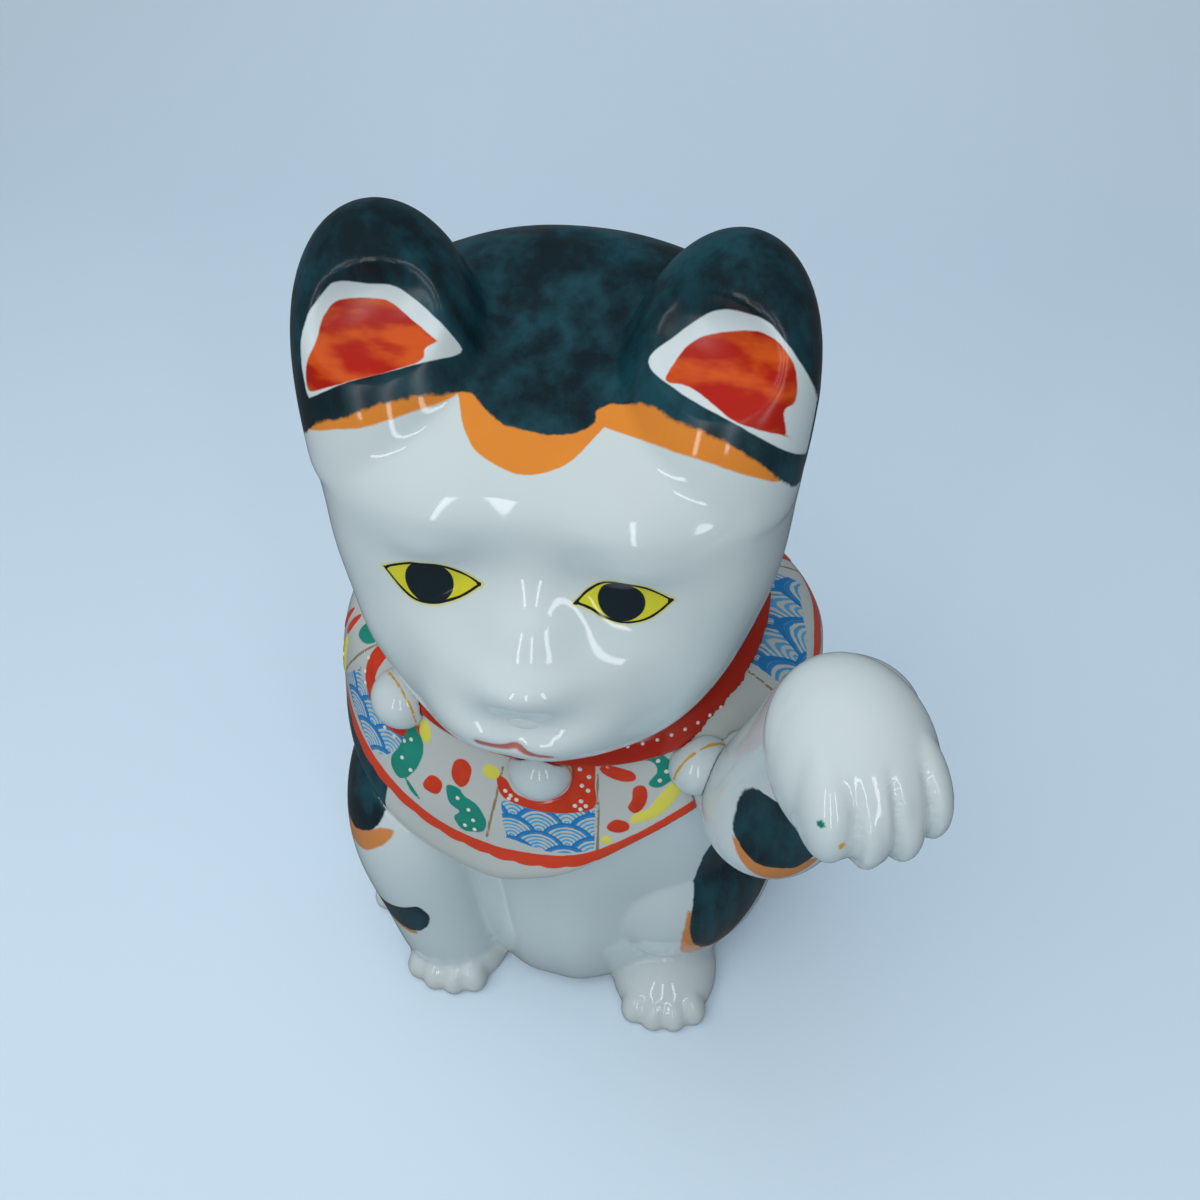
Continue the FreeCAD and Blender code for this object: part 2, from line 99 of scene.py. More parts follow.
def copy_of_nodes(names):
    """A copy of the mesh of each node, each its own object with its doubled points merged."""
    copies = []
    for name in names:
        mesh = NODES[name].data.copy()
        mesh.materials.clear()
        copy = bpy.data.objects.new(name + "_copy", mesh)
        bpy.context.scene.collection.objects.link(copy)
        pick(copy)
        bpy.ops.object.mode_set(mode="EDIT")
        bpy.ops.mesh.select_all(action="SELECT")
        bpy.ops.mesh.remove_doubles(threshold=0.00001)
        bpy.ops.object.mode_set(mode="OBJECT")
        copies.append(copy)
    return copies


def cast(nodes, name, detail, softness):
    """Copies of some nodes run together into one even skin, its joints softened into creases."""
    piece = join(copy_of_nodes(nodes), name)
    apply_modifier(piece, "REMESH", mode="VOXEL", voxel_size=detail)
    apply_modifier(piece, "SMOOTH", factor=0.5, iterations=softness)
    return piece


def press(piece, middle, radii, amount):
    """Pushes the surface out (or in, below zero) softly round a middle; all in millimetres."""
    places, normals = places_of(piece)
    weight = np.exp(-np.sum(((places - np.array(middle)) / np.array(radii)) ** 2, axis=1))
    swell_by(piece, weight, amount)


def swell_by(piece, weight, amount):
    """Moves the surface along its normals by an amount in millimetres times each vertex's weight."""
    group = piece.vertex_groups.new(name="weight")
    for index in np.flatnonzero(weight > 0.01):
        group.add([int(index)], float(weight[index]), "REPLACE")
    apply_modifier(piece, "DISPLACE", strength=amount * MM, mid_level=0.0, vertex_group=group.name)
    piece.vertex_groups.remove(piece.vertex_groups[0])


def finish_piece(piece, material, replaced=()):
    piece.data.materials.clear()
    piece.data.materials.append(material)
    pick(piece)
    bpy.ops.object.shade_smooth()
    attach(piece, "root")
    if replaced:
        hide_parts(*replaced)
    return piece


# ---------------------------------------------------------------- drawing on the castings

def places_of(piece):
    """Vertex places in millimetres, and normals."""
    count = len(piece.data.vertices)
    places = np.zeros(count * 3)
    normals = np.zeros(count * 3, np.float32)
    piece.data.vertices.foreach_get("co", places)
    piece.data.vertex_normals.foreach_get("vector", normals)
    return places.reshape(-1, 3) / MM, normals.reshape(-1, 3).astype(float)


def keep_field(piece, name, values):
    field = piece.data.attributes.new(name, "FLOAT", "POINT")
    field.data.foreach_set("value", np.asarray(values, np.float32))


def smooth_outline(points, closed=True, steps=10):
    """Points on a smooth curve through given points."""
    points = np.asarray(points, float)
    if closed:
        rows = np.vstack([points[-1], points, points[0], points[1]])
    else:
        rows = np.vstack([2 * points[0] - points[1], points, 2 * points[-1] - points[-2]])
    curve = []
    for before, low, high, after in zip(rows, rows[1:], rows[2:], rows[3:]):
        for t in np.arange(steps) / steps:
            bend = (2 * before - 5 * low + 4 * high - after) * t ** 2
            twist = (3 * low - before - 3 * high + after) * t ** 3
            curve.append(0.5 * (2 * low + (high - before) * t + bend + twist))
    if not closed:
        curve.append(points[-1])
    return np.array(curve)


def distance_to_line(flat, curve, closed=False):
    """Distance of flat points to a drawn line."""
    starts = curve
    ends = np.roll(curve, -1, axis=0)
    if not closed:
        starts, ends = curve[:-1], curve[1:]
    best = np.full(len(flat), 1e9)
    for start, end in zip(starts, ends):
        along = end - start
        share = np.clip(((flat - start) @ along) / max(along @ along, 1e-12), 0, 1)
        best = np.minimum(best, np.linalg.norm(flat - start - share[:, None] * along, axis=1))
    return best


def depth_inside(flat, points, steps=10):
    """Distance inside a smooth closed outline, below zero outside it."""
    curve = smooth_outline(points, True, steps)
    inside = np.zeros(len(flat), bool)
    for start, end in zip(curve, np.roll(curve, -1, axis=0)):
        crosses = (start[1] > flat[:, 1]) != (end[1] > flat[:, 1])
        rise = end[1] - start[1]
        if rise == 0:
            continue
        inside ^= crosses & (flat[:, 0] < (end[0] - start[0]) * (flat[:, 1] - start[1]) / rise + start[0])
    distance = distance_to_line(flat, curve, True)
    return np.where(inside, distance, -distance)


def flat_view(places, middle, facing, across):
    """Places seen square on: across and up in millimetres from the middle, and height over it."""
    facing = np.array(Vector(facing).normalized())
    across = np.array(across, float)
    across -= facing * (across @ facing)
    across /= np.linalg.norm(across)
    upward = np.cross(facing, across)
    if upward[2] < 0:
        upward = -upward
    offset = places - np.array(middle, float)
    return np.stack([offset @ across, offset @ upward], 1), offset @ facing


def drawn_on(places, normals, middle, facing, across, points, reach=30.0):
    """Distance inside an outline on a flat view, only where the surface looks that way and is near."""
    flat, height = flat_view(places, middle, facing, across)
    toward = normals @ np.array(Vector(facing).normalized())
    depth = np.full(len(places), -9.0)
    extent = np.abs(np.asarray(points, float)).max() + 12
    near = (np.abs(flat).max(axis=1) < extent) & (np.abs(height) < reach) & (toward > -0.1)
    depth[near] = np.minimum(depth_inside(flat[near], points), 12 * (toward[near] - 0.05))
    return np.maximum(depth, -9.0)


HEAD_MIDDLE = (0.0, -7.0, 200.0)


def crown_map(turn, rise):
    """The head spread flat round its crown: degrees of turn and of rise become a place on a disc."""
    turn = np.radians(turn)
    fall = 90.0 - np.asarray(rise, float)
    return np.stack([fall * np.sin(turn), -fall * np.cos(turn)], -1)


def on_crown_map(places):
    offset = places - np.array(HEAD_MIDDLE)
    turn = np.degrees(np.arctan2(offset[:, 0], -offset[:, 1]))
    rise = np.degrees(np.arctan2(offset[:, 2], np.hypot(offset[:, 0], offset[:, 1])))
    return crown_map(turn, rise)


# outlines round the crown, in degrees of turn from the nose and of rise from level
BLACK_CAP = ((-64, 31), (-60, 36), (-55, 41), (-50, 49), (-45, 57), (-42, 61), (-37, 62), (-27, 60.5),
             (-14, 59.3), (8, 58.7), (23, 59), (30, 61), (32, 63), (41, 62.5), (47, 58.5), (50, 52),
             (55, 45), (60, 37.5), (64, 32), (70, 28), (85, 24), (105, 20), (130, 16), (155, 12),
             (180, 9), (-155, 12), (-130, 16), (-105, 20), (-85, 24), (-70, 27.5))
ORANGE_LOBE = ((-43, 62), (-41, 59), (-32, 54.5), (-22, 50.5), (-8, 48.5), (2, 48.7), (14, 51.3),
               (25, 56), (33, 60.5), (10, 72), (-15, 72))
ORANGE_RIGHT = ((-63, 32.5), (-53, 40), (-47.5, 47.5), (-44.5, 54), (-43, 60), (-46, 66), (-56, 52),
                (-63, 40))
ORANGE_LEFT = ((31, 59.5), (42, 52.5), (48.5, 45.4), (57, 37), (64, 32.5), (66, 40), (56, 55), (44, 67),
               (32, 66))

EAR_MIDDLE = (44.0, -28.0, 265.0)
EAR_FACING = (-0.18, -0.71, 0.68)
EAR_ACROSS = (0.92, -0.38, -0.16)
# ear faces: outward and up from the middle of the face; a corner is a point set twice
RIGHT_EAR_WHITE = ((15.3, -9.7), (13.3, -0.2), (9.2, 6.2), (4.2, 9.9), (-0.1, 11.6), (-6.5, 9.6),
                   (-13.2, 6.8), (-19.2, -1.5), (-22.9, -8.8), (-21.8, -10.9), (-12.2, -11.0),
                   (3.1, -10.6), (13.6, -11.0))
RIGHT_EAR_RED = ((14.7, -8.2), (13.2, -4.0), (9.5, -0.3), (5.0, 5.9), (0.1, 7.9), (-9.3, 5.3),
                 (-14.3, -1.0), (-18.4, -7.2), (-18.4, -7.2), (-15.2, -8.0), (-14.1, -10.2),
                 (-8.8, -10.9), (3.1, -10.6), (13.4, -10.0), (14.7, -8.2))
LEFT_EAR_WHITE = ((-18.3, -7.4), (-16.2, 0.3), (-10.0, 9.4), (-0.2, 12.3), (6.4, 10.9), (16.1, 4.6),
                  (19.5, -4.9), (18.9, -9.9), (6.0, -10.1), (-8.1, -9.8))
LEFT_EAR_RED = ((-13.2, -7.5), (-12.6, -0.1), (-8.8, 4.8), (-0.4, 9.3), (5.7, 9.7), (11.5, 6.5),
                (14.5, 0.4), (13.6, -2.7), (16.3, -7.4), (16.3, -7.4), (6.7, -9.7), (-1.3, -8.5),
                (-7.5, -7.7), (-11.9, -9.0))

EYE_MIDDLE = (24.0, -52.7, 211.0)
EYE_FACING = (0.25, -0.93, 0.27)
RIGHT_LIDS = ((14.0, 1.4), (14.0, 1.4), (10.1, 3.1), (6.2, 4.5), (2.6, 5.0), (-1.7, 5.0), (-7.3, 3.2),
              (-12.8, 1.0), (-12.8, 1.0), (-8.5, -2.9), (-4.1, -5.4), (-0.2, -6.8), (4.9, -6.9),
              (9.2, -4.3))
LEFT_LIDS = ((-12.1, -0.4), (-12.1, -0.4), (-8.6, 3.3), (-5.0, 6.1), (-1.5, 6.9), (3.4, 6.6),
             (7.1, 5.1), (11.2, 2.7), (11.2, 2.7), (8.6, -0.6), (5.1, -3.5), (0.2, -4.9), (-4.7, -4.0),
             (-8.4, -1.9))
RIGHT_PUPIL = (1.2, -0.7, 6.2)          # middle and radius
LEFT_PUPIL = (-0.9, 1.1, 5.7)

# the mouth's line as seen from the front: across and up
MOUTH = ((-10, 178.6), (-6.5, 178.6), (-3, 179.2), (0.5, 180.8), (3.2, 178.8), (6, 177.4), (9, 176.4))
MOUTH_CREASE = (1.3, -0.9)              # half width and depth
FACE_AHEAD_OF = -40.0                   # the face lies in front of this
FAR = 9.0                               # a distance at which no paint shows
LID_SHARE = {-1: 0.93, 1: 0.98}         # of the drawn size, on the cat's right and left
EYE_REACH = 30.0


def mirror(place, side):
    return (place[0] * side, place[1], place[2])


# swellings of the face: middle, reach each way, and height, which is below zero for a hollow
FACE = (
    ((1.5, -63.5, 204.0), (11.0, 14.0, 10.0), 3.2),     # broad bridge of the nose
    ((1.5, -72.0, 195.0), (14.0, 12.0, 4.8), 3.9),      # nose
    ((2.0, -78.0, 186.8), (14.0, 9.0, 4.4), -3.9),      # flat under the nose
    ((-27.0, -60.0, 196.0), (11.0, 12.0, 10.0), 1.1),   # beside the muzzle
    ((29.0, -59.0, 197.0), (13.0, 12.0, 11.0), 0.9),
    ((-25.0, -54.0, 221.0), (10.0, 9.0, 4.6), 1.6),     # brows
    ((26.0, -52.0, 221.0), (10.0, 9.0, 4.6), 1.6),
    ((-11.0, -54.0, 217.5), (7.5, 9.0, 7.5), -0.9),     # inner corners of the eyes
    ((11.5, -54.0, 218.0), (7.5, 9.0, 7.5), -0.9),
    ((0.0, -50.0, 233.0), (11.0, 9.0, 7.0), 1.2),       # forehead
    ((-24.0, -54.0, 211.0), (10.0, 8.0, 6.0), 0.8),     # eyes
    ((24.0, -53.0, 211.0), (10.0, 8.0, 6.0), 0.8),
    ((0.0, -68.0, 170.5), (13.0, 9.0, 4.5), 1.2),       # chin
    ((-40.0, -50.0, 186.0), (11.0, 12.0, 10.0), 1.8),   # cheeks
    ((40.0, -50.0, 186.0), (11.0, 12.0, 10.0), 1.8),
)
FACE_SOFTNESS = 10           # rounds of smoothing after the face is shaped


def from_mouth(places):
    """Distance from the line of the mouth, far away off the face."""
    line = distance_to_line(places[:, [0, 2]], smooth_outline(MOUTH, False))
    return np.where(places[:, 1] < FACE_AHEAD_OF, line, FAR)


def shape_face(piece):
    for middle, radii, amount in FACE:
        press(piece, middle, radii, amount)
    apply_modifier(piece, "SMOOTH", factor=0.5, iterations=FACE_SOFTNESS)
    places, normals = places_of(piece)
    half_width, depth = MOUTH_CREASE
    swell_by(piece, np.exp(-(from_mouth(places) / half_width) ** 2), depth)


def paint_head(piece):
    places, normals = places_of(piece)
    crown = on_crown_map(places)
    keep_field(piece, "cap", depth_inside(crown, crown_map(*np.transpose(BLACK_CAP))))
    loops = (ORANGE_LOBE, ORANGE_RIGHT, ORANGE_LEFT)
    orange = [depth_inside(crown, crown_map(*np.transpose(loop))) for loop in loops]
    keep_field(piece, "orange", np.maximum.reduce(orange))
    fields = {"ear_white": [], "ear_red": [], "lids": []}
    for side, white, red, lids in (
        (-1, RIGHT_EAR_WHITE, RIGHT_EAR_RED, RIGHT_LIDS),
        (1, LEFT_EAR_WHITE, LEFT_EAR_RED, LEFT_LIDS),
    ):
        ear = (mirror(EAR_MIDDLE, side), mirror(EAR_FACING, side), mirror(EAR_ACROSS, side))
        eye = (mirror(EYE_MIDDLE, side), mirror(EYE_FACING, side), (side, 0, 0))
        fields["ear_white"].append(drawn_on(places, normals, *ear, white))
        fields["ear_red"].append(drawn_on(places, normals, *ear, red))
        fields["lids"].append(drawn_on(places, normals, *eye, np.array(lids) * LID_SHARE[side]))
    for name, pair in fields.items():
        keep_field(piece, name, np.maximum(*pair))
    pupils = []
    for side, (across, up, radius) in ((-1, RIGHT_PUPIL), (1, LEFT_PUPIL)):
        flat, height = flat_view(places, mirror(EYE_MIDDLE, side), mirror(EYE_FACING, side), (side, 0, 0))
        inside = radius - np.hypot(flat[:, 0] - across, flat[:, 1] - up)
        pupils.append(np.where(np.abs(height) < EYE_REACH, inside, -FAR))
    keep_field(piece, "pupil", np.maximum(*pupils))
    keep_field(piece, "mouth", from_mouth(places))


# patches on the body: middle and facing of the flat view, then outlines across and up from the middle
SHOULDER_VIEW = ((-62.0, -54.0, 102.0), (-0.6, -0.8, 0.0), (0.8, -0.6, 0.0))
SHOULDER_BLACK = ((-14, 24), (-5, 20), (0, 15.5), (5, 13.5), (8, 10), (9.8, 4), (9.6, -1.6), (8.6, -6),
                  (6.4, -9), (2, -12.5), (-2, -14.4), (-8, -14), (-13, -9), (-17, 0), (-19, 12))
SHOULDER_ORANGE = ((-14, -8), (-2, -12), (6, -9), (10, -6), (14, -5.5), (13, -10.5), (9, -16),
                   (5.4, -19.6), (-2, -22), (-9, -20), (-14, -14))
SHIN_VIEW = ((-52.0, -68.0, 48.0), (-0.3, -0.95, 0.0), (0.95, -0.3, 0.0))
SHIN_BLACK = ((-20, 6), (-12, 5), (-4, 6.4), (2, 9), (5.8, 10.3), (8.5, 3), (6.3, -5.4), (0.7, -9.8),
              (-7.8, -8.4), (-15, -2))
SHIN_ORANGE = ((-20, 2), (-14, -3), (-8, -10), (-1, -12.5), (3, -10.5), (-2, -7), (-9, -6))
HAUNCH_VIEW = ((55.0, -48.0, 62.0), (0.7, -0.7, 0.0), (0.7, 0.7, 0.0))
HAUNCH_BLACK = ((-7, 32), (-10.3, 14.3), (-13.4, -2), (-13.5, -12), (-11, -22.4), (-5, -31), (3, -29),
                (10, -21), (18, -13), (25, -5), (29, 10), (24, 26), (12, 36), (0, 40))
HAUNCH_ORANGE = ((-13.3, 3), (-15.7, -8), (-16.3, -20), (-14.5, -29), (-9, -35), (-2, -36), (5, -30),
                 (-3, -26), (-10, -16))
ELBOW_VIEW = ((67.0, -77.0, 152.0), (0.0, -1.0, 0.0), (1.0, 0.0, 0.0))
ELBOW_BLACK = ((-9.3, 11.2), (-4.6, 18.7), (4, 18), (14, 12), (16, 0), (8.4, -10.8), (2.2, -11.7),
               (-3.6, -10.9), (-9.4, -5.1), (-10.7, -0.6))
ELBOW_ORANGE = ((-10.3, -5), (-7.6, -12.5), (-3.2, -17.8), (2, -20), (8.8, -16.5), (13, -9), (4, -9),
                (-3.6, -9))
BACK_VIEW = ((-16.0, 66.0, 96.0), (-0.2, 1.0, 0.15), (-1.0, -0.2, 0.0))
BACK_BLACK = ((-30, 10), (-18, 24), (0, 30), (16, 26), (24, 12), (20, -6), (8, -18), (-8, -21),
              (-22, -12))
BACK_ORANGE = ((-32, 4), (-26, -12), (-10, -25), (8, -23), (20, -12), (10, -12), (-8, -14), (-22, -4))
TAIL_VIEW = ((8.0, 80.0, 30.0), (0.0, 1.0, 0.0), (-1.0, 0.0, 0.0))
TAIL_BLACK = ((-13, 16), (0, 22), (13, 16), (14, 0), (12, -8), (3, -6), (-6, -10), (-13, -5))

HAND_MIDDLE = (82.0, -82.0)
HAND_HEADING = (0.454, -0.891)
FINGER_GROOVES = (-7.0, 0.1, 7.2)        # across the hand
GROOVE_FAN = 0.012                       # how fast the grooves spread towards the fingertips
GROOVE = (1.1, -1.5)                     # half width and depth
GROOVE_STARTS = 11.0                     # ahead of the hand's middle
GROOVE_DEEPENS = 8.0                     # over this length
HAND_FROM = 176.0                        # the hand lies above this height


def groove_fingers(piece):
    places, normals = places_of(piece)
    offset = places[:, :2] - np.array(HAND_MIDDLE)
    ahead = offset @ np.array(HAND_HEADING)
    across = offset @ np.array((-HAND_HEADING[1], HAND_HEADING[0]))
    reach = np.clip((ahead - GROOVE_STARTS) / GROOVE_DEEPENS, 0, 1) * (places[:, 2] > HAND_FROM)
    lines = [np.abs(across - groove - GROOVE_FAN * groove * ahead) for groove in FINGER_GROOVES]
    half_width, depth = GROOVE
    swell_by(piece, reach * np.exp(-(np.minimum.reduce(lines) / half_width) ** 2), depth)


# traces of paint left on the fingers: middle and radius
FINGER_GREEN = ((75.1, -103.5, 207.5), 1.1)
GOLD_TRACES = (((80.3, -105.4, 202.7), 0.9), ((91.3, -102.3, 196.8), 0.9))


def near_spot(places, spot):
    """Distance inside a round spot of paint, of a middle and a radius."""
    middle, radius = spot
    return radius - np.linalg.norm(places - np.array(middle), axis=1)


def paint_body(piece):
    places, normals = places_of(piece)
    black = []
    orange = []
    for view, dark, bright in (
        (SHOULDER_VIEW, SHOULDER_BLACK, SHOULDER_ORANGE),
        (SHIN_VIEW, SHIN_BLACK, SHIN_ORANGE),
        (HAUNCH_VIEW, HAUNCH_BLACK, HAUNCH_ORANGE),
        (ELBOW_VIEW, ELBOW_BLACK, ELBOW_ORANGE),
        (BACK_VIEW, BACK_BLACK, BACK_ORANGE),
    ):
        black.append(drawn_on(places, normals, *view, dark))
        orange.append(drawn_on(places, normals, *view, bright))
    black.append(drawn_on(places, normals, *TAIL_VIEW, TAIL_BLACK))
    keep_field(piece, "black", np.maximum.reduce(black))
    keep_field(piece, "orange", np.maximum.reduce(orange))
    keep_field(piece, "trace_green", near_spot(places, FINGER_GREEN))
    keep_field(piece, "trace_gold", np.maximum(*[near_spot(places, spot) for spot in GOLD_TRACES]))
    keep_field(piece, "height", places[:, 2])


# ---------------------------------------------------------------- the bib's painting

ROUND = 1.2                  # millimetres round the bib for a degree of turn from its front

# degrees of turn and height of the red border's middle line
BORDER = ((-180, 133), (-135, 131), (-100, 130), (-75, 130), (-64, 127), (-56, 123.5), (-48, 121),
          (-40, 117.5), (-32, 112.5), (-24, 108.5), (-12, 107.3), (0, 108.3), (10, 110.8), (16, 114.6),
          (25, 120), (34, 126), (48, 133), (70, 141), (90, 146), (110, 146), (135, 139), (180, 133))
BORDER_HALF = 2.2
SCALLOP = 6.7                # degrees from one scallop of the border to the next
SCALLOP_DEPTH = 0.7
BORDER_ROUNDING = (-4, -2, 0, 2, 4)      # degrees over which the line's corners are evened out
ENAMEL_HEIGHT = 0.35         # of the raised marks
ENAMEL_SHOULDER = 0.9        # how far in from its edge a mark reaches that height

# outlines in degrees of turn and height
RED_MARKS = (
    ((-31.9, 124.5), (-30.6, 128.6), (-28.3, 129.2), (-26.7, 127), (-27.6, 123.3), (-30, 122.8)),
    ((-24.9, 132.5), (-24.4, 137.2), (-22, 138.8), (-19.6, 136.8), (-19.7, 132), (-21.2, 129),
     (-23.2, 129.4)),
    ((17, 144.6), (21, 144.2), (25.2, 142.2), (25.4, 139.8), (22.4, 139.4), (18.6, 141), (16.6, 142.8)),
    ((24.8, 137.4), (27.4, 137.8), (28, 134.6), (26.6, 130.4), (24.4, 128.6), (22.8, 130.6), (24, 133.6)),
    ((17.2, 124.4), (19.4, 126.6), (22.2, 125.6), (22.6, 123.4), (20.2, 122), (17.8, 122.6)),
    ((-12.2, 136.6), (-11.2, 131.4), (-8, 128.8), (0, 127.6), (8, 128.4), (14.4, 131), (14.9, 138),
     (14.9, 148), (9.2, 148), (8.8, 140), (6.6, 134.6), (0.2, 130.8), (-6.4, 131.8), (-9.6, 136)),
    ((-60.6, 154.5), (-58.6, 148), (-55.6, 142.4), (-50.4, 138.2), (-44, 136.4), (-38, 137.6),
     (-34.4, 141), (-34.6, 146), (-37, 143), (-42, 141), (-49, 142), (-53.6, 147), (-56, 154.5)),
    ((-73.6, 151), (-71.8, 150), (-71.4, 146.6), (-72.4, 144), (-73.8, 146)),
    ((-77.4, 149), (-76, 148), (-75.6, 143), (-76.8, 140.4), (-78.2, 144)),
    ((113, 152.5), (116, 153), (118.6, 149), (116, 146.4), (113.6, 148)),
    ((121, 153), (124, 153.6), (125.4, 150.6), (122.8, 149)),
)
# turn and height of the small petals round the back
RED_RUN = ((140, 148), (160, 146), (-170, 147), (-150, 142), (-130, 147), (-104, 146), (-92, 149))
GREEN_MARKS = (
    ((-38.4, 143.6), (-35, 140.4), (-33.6, 136), (-34.2, 129.6), (-36.4, 124.2), (-38.6, 122.4),
     (-41.2, 124.8), (-41.8, 128.4), (-40.6, 132.6), (-39.6, 138)),
    ((-37, 123.6), (-35.2, 122.6), (-32.4, 118.8), (-32.6, 118), (-35, 120)),
    ((-25.6, 127.6), (-22.4, 128.2), (-20.4, 126.2), (-16.8, 124.4), (-14.2, 120), (-14.6, 115),
     (-17.6, 112.8), (-20.6, 112.2), (-22.8, 116.4), (-21.4, 119.8), (-24.2, 121.8)),
    ((16.6, 147.4), (20, 149.2), (26, 149), (31.4, 148.6), (35, 144.6), (35.4, 140), (31.2, 136.8),
     (28.6, 138.4), (31.2, 142), (30, 145.4), (24, 146.2), (18.6, 145.8)),
    ((-69.4, 152.6), (-65, 153.6), (-61.6, 153.4), (-63.4, 150.6), (-67.8, 149.6)),
    ((117.4, 156), (121, 156.6), (123, 153.8), (119, 152.6)),
)
YELLOW_MARKS = (
    ((-36, 145.2), (-34.4, 146.6), (-32.6, 144.4), (-32.2, 140.6), (-33.8, 139), (-35.2, 141)),
    ((-16.4, 137.4), (-15.2, 139.6), (-12.6, 139.4), (-11.4, 137.2), (-12.8, 135), (-15.4, 135)),
    ((22.8, 125.4), (24.6, 128.6), (28, 130), (30.6, 134), (34.6, 138.2), (37.2, 138.4), (36, 134.4),
     (32.4, 129.4), (28, 126.2)),
    ((15.4, 119.4), (16.8, 121), (18.2, 119.6), (17, 118)),
    ((-72.6, 143.4), (-70.6, 143.8), (-68.4, 138), (-67.4, 133.6), (-69.4, 131.6), (-72.6, 133.6),
     (-73.2, 139)),
    ((-78, 156), (-76, 156), (-75.6, 153.4), (-77.6, 153)),
)
WAVE_PANELS = (
    ((-60.2, 144.6), (-60.2, 144.6), (-66.4, 134.4), (-66.4, 134.4), (-58, 129.4), (-48.6, 124),
     (-48.6, 124), (-43, 127.6), (-39, 136), (-39, 136), (-45, 139.6), (-54, 141)),
    ((-10.4, 128.6), (-10.4, 128.6), (0, 129.4), (14.7, 131.8), (14.7, 131.8), (14.2, 124),
     (13.8, 115.4), (13.8, 115.4), (3, 112.4), (-8.4, 114.8), (-8.4, 114.8), (-9.6, 121)),
    ((69, 158), (69, 158), (69.4, 152), (72, 146), (72, 146), (84, 149.4), (96, 151.6), (104, 150.6),
     (104, 150.6), (107, 158), (107, 158)),
    ((148, 142), (148, 142), (156, 156), (156, 156), (172, 156), (172, 156), (170, 139), (170, 139)),
    ((-126, 137), (-126, 137), (-120, 155), (-120, 155), (-106, 155), (-106, 155), (-108, 136),
     (-108, 136)),
)
PANEL_LINES = (
    ((-60.4, 154), (-64, 144), (-68.4, 132)),
    ((-10.8, 140), (-12, 128), (-13.9, 112.5)),
    ((15.9, 150), (15.4, 132), (14.5, 115.5)),
    ((66, 156), (67.6, 143)),
    ((108.6, 156), (109.4, 149)),
    ((146, 155), (145, 140)),
    ((-102, 155), (-101, 134)),
    ((-129, 155), (-128, 134)),
)
LEG_BLACK_FROM = -66.0       # the shoulder's black runs on below the border between these turns
LEG_BLACK_TO = -41.5
# turn and height of the raised dots
CREAM_DOTS = ((-9.4, 132.4), (-7.9, 131.2), (-8.3, 130), (-6.2, 130.2), (9.4, 131.4), (10.8, 130.4),
              (12.2, 131.6), (11, 133), (13, 136.6), (11.4, 138), (13.4, 141), (11, 143.4),
              (13.2, 145.6), (-59.4, 149.6), (-58, 146), (-56.4, 143), (-46, 135.6), (-42.6, 135.2),
              (-39.2, 136.2), (-35.6, 127.8), (-38.6, 130.4), (-37.4, 138), (-18.8, 122),
              (-17.4, 118.4), (-19.6, 115), (-17, 114.6), (-22, 125), (31.8, 145.6), (33.4, 142),
              (31.4, 139.4), (-70.4, 137.4))


def unrolled(places):
    """Millimetres round the bib from its front, and height."""
    return np.stack([np.degrees(np.arctan2(places[:, 0], -places[:, 1])) * ROUND, places[:, 2]], 1)


def marked(flat, outlines):
    """Distance inside any of the outlines drawn on the unrolled bib."""
    depth = np.full(len(flat), -5.0)
    for outline in outlines:
        outline = np.array(outline, float) * (ROUND, 1.0)
        near = np.all((flat > outline.min(axis=0) - 5) & (flat < outline.max(axis=0) + 5), axis=1)
        depth[near] = np.maximum(depth[near], depth_inside(flat[near], outline, 6))
    return depth


def border_height(turn):
    """Height of the border's middle line, its corners rounded off."""
    turns, heights = np.transpose(BORDER)
    lines = [np.interp(turn + shift, turns, heights, period=360) for shift in BORDER_ROUNDING]
    return np.mean(lines, axis=0)


def paint_bib(piece):
    places, normals = places_of(piece)
    flat = unrolled(places)
    turn = flat[:, 0] / ROUND
    fields = {
        "red": np.maximum(marked(flat, RED_MARKS), marked(flat, small_petals())),
        "green": marked(flat, GREEN_MARKS),
        "yellow": marked(flat, YELLOW_MARKS),
        "waves": marked(flat, WAVE_PANELS),
    }
    over = flat[:, 1] - border_height(turn)
    scallop = SCALLOP_DEPTH * np.abs(np.sin(np.pi * turn / SCALLOP))
    fields["border"] = np.where(over > 0, BORDER_HALF - over, BORDER_HALF + scallop + over)
    lines = [distance_to_line(flat, np.array(line, float) * (ROUND, 1.0)) for line in PANEL_LINES]
    fields["lines"] = np.minimum.reduce(lines)
    beside = np.minimum(turn - LEG_BLACK_FROM, LEG_BLACK_TO - turn) * ROUND
    fields["leg_black"] = np.minimum(beside, -over)
    fields["round"] = flat[:, 0]
    fields["height"] = flat[:, 1]
    for name, values in fields.items():
        keep_field(piece, name, values)
    raised = np.maximum.reduce([fields[name] for name in ("red", "green", "yellow")])
    share = np.clip(raised / ENAMEL_SHOULDER, 0, 1)
    swell_by(piece, share * share * (3 - 2 * share), ENAMEL_HEIGHT)


def small_petals():
    """Bean-shaped petals scattered round the back of the bib, in degrees of turn and height."""
    petals = []
    for turn, height in RED_RUN:
        petals.append(((turn - 2.2, height), (turn - 1, height + 2.6), (turn + 1.6, height + 2),
                       (turn + 2, height - 1.2), (turn, height - 2.8)))
    return petals


OUTSIDE = 0.2                # metres from the axis, well outside the figurine


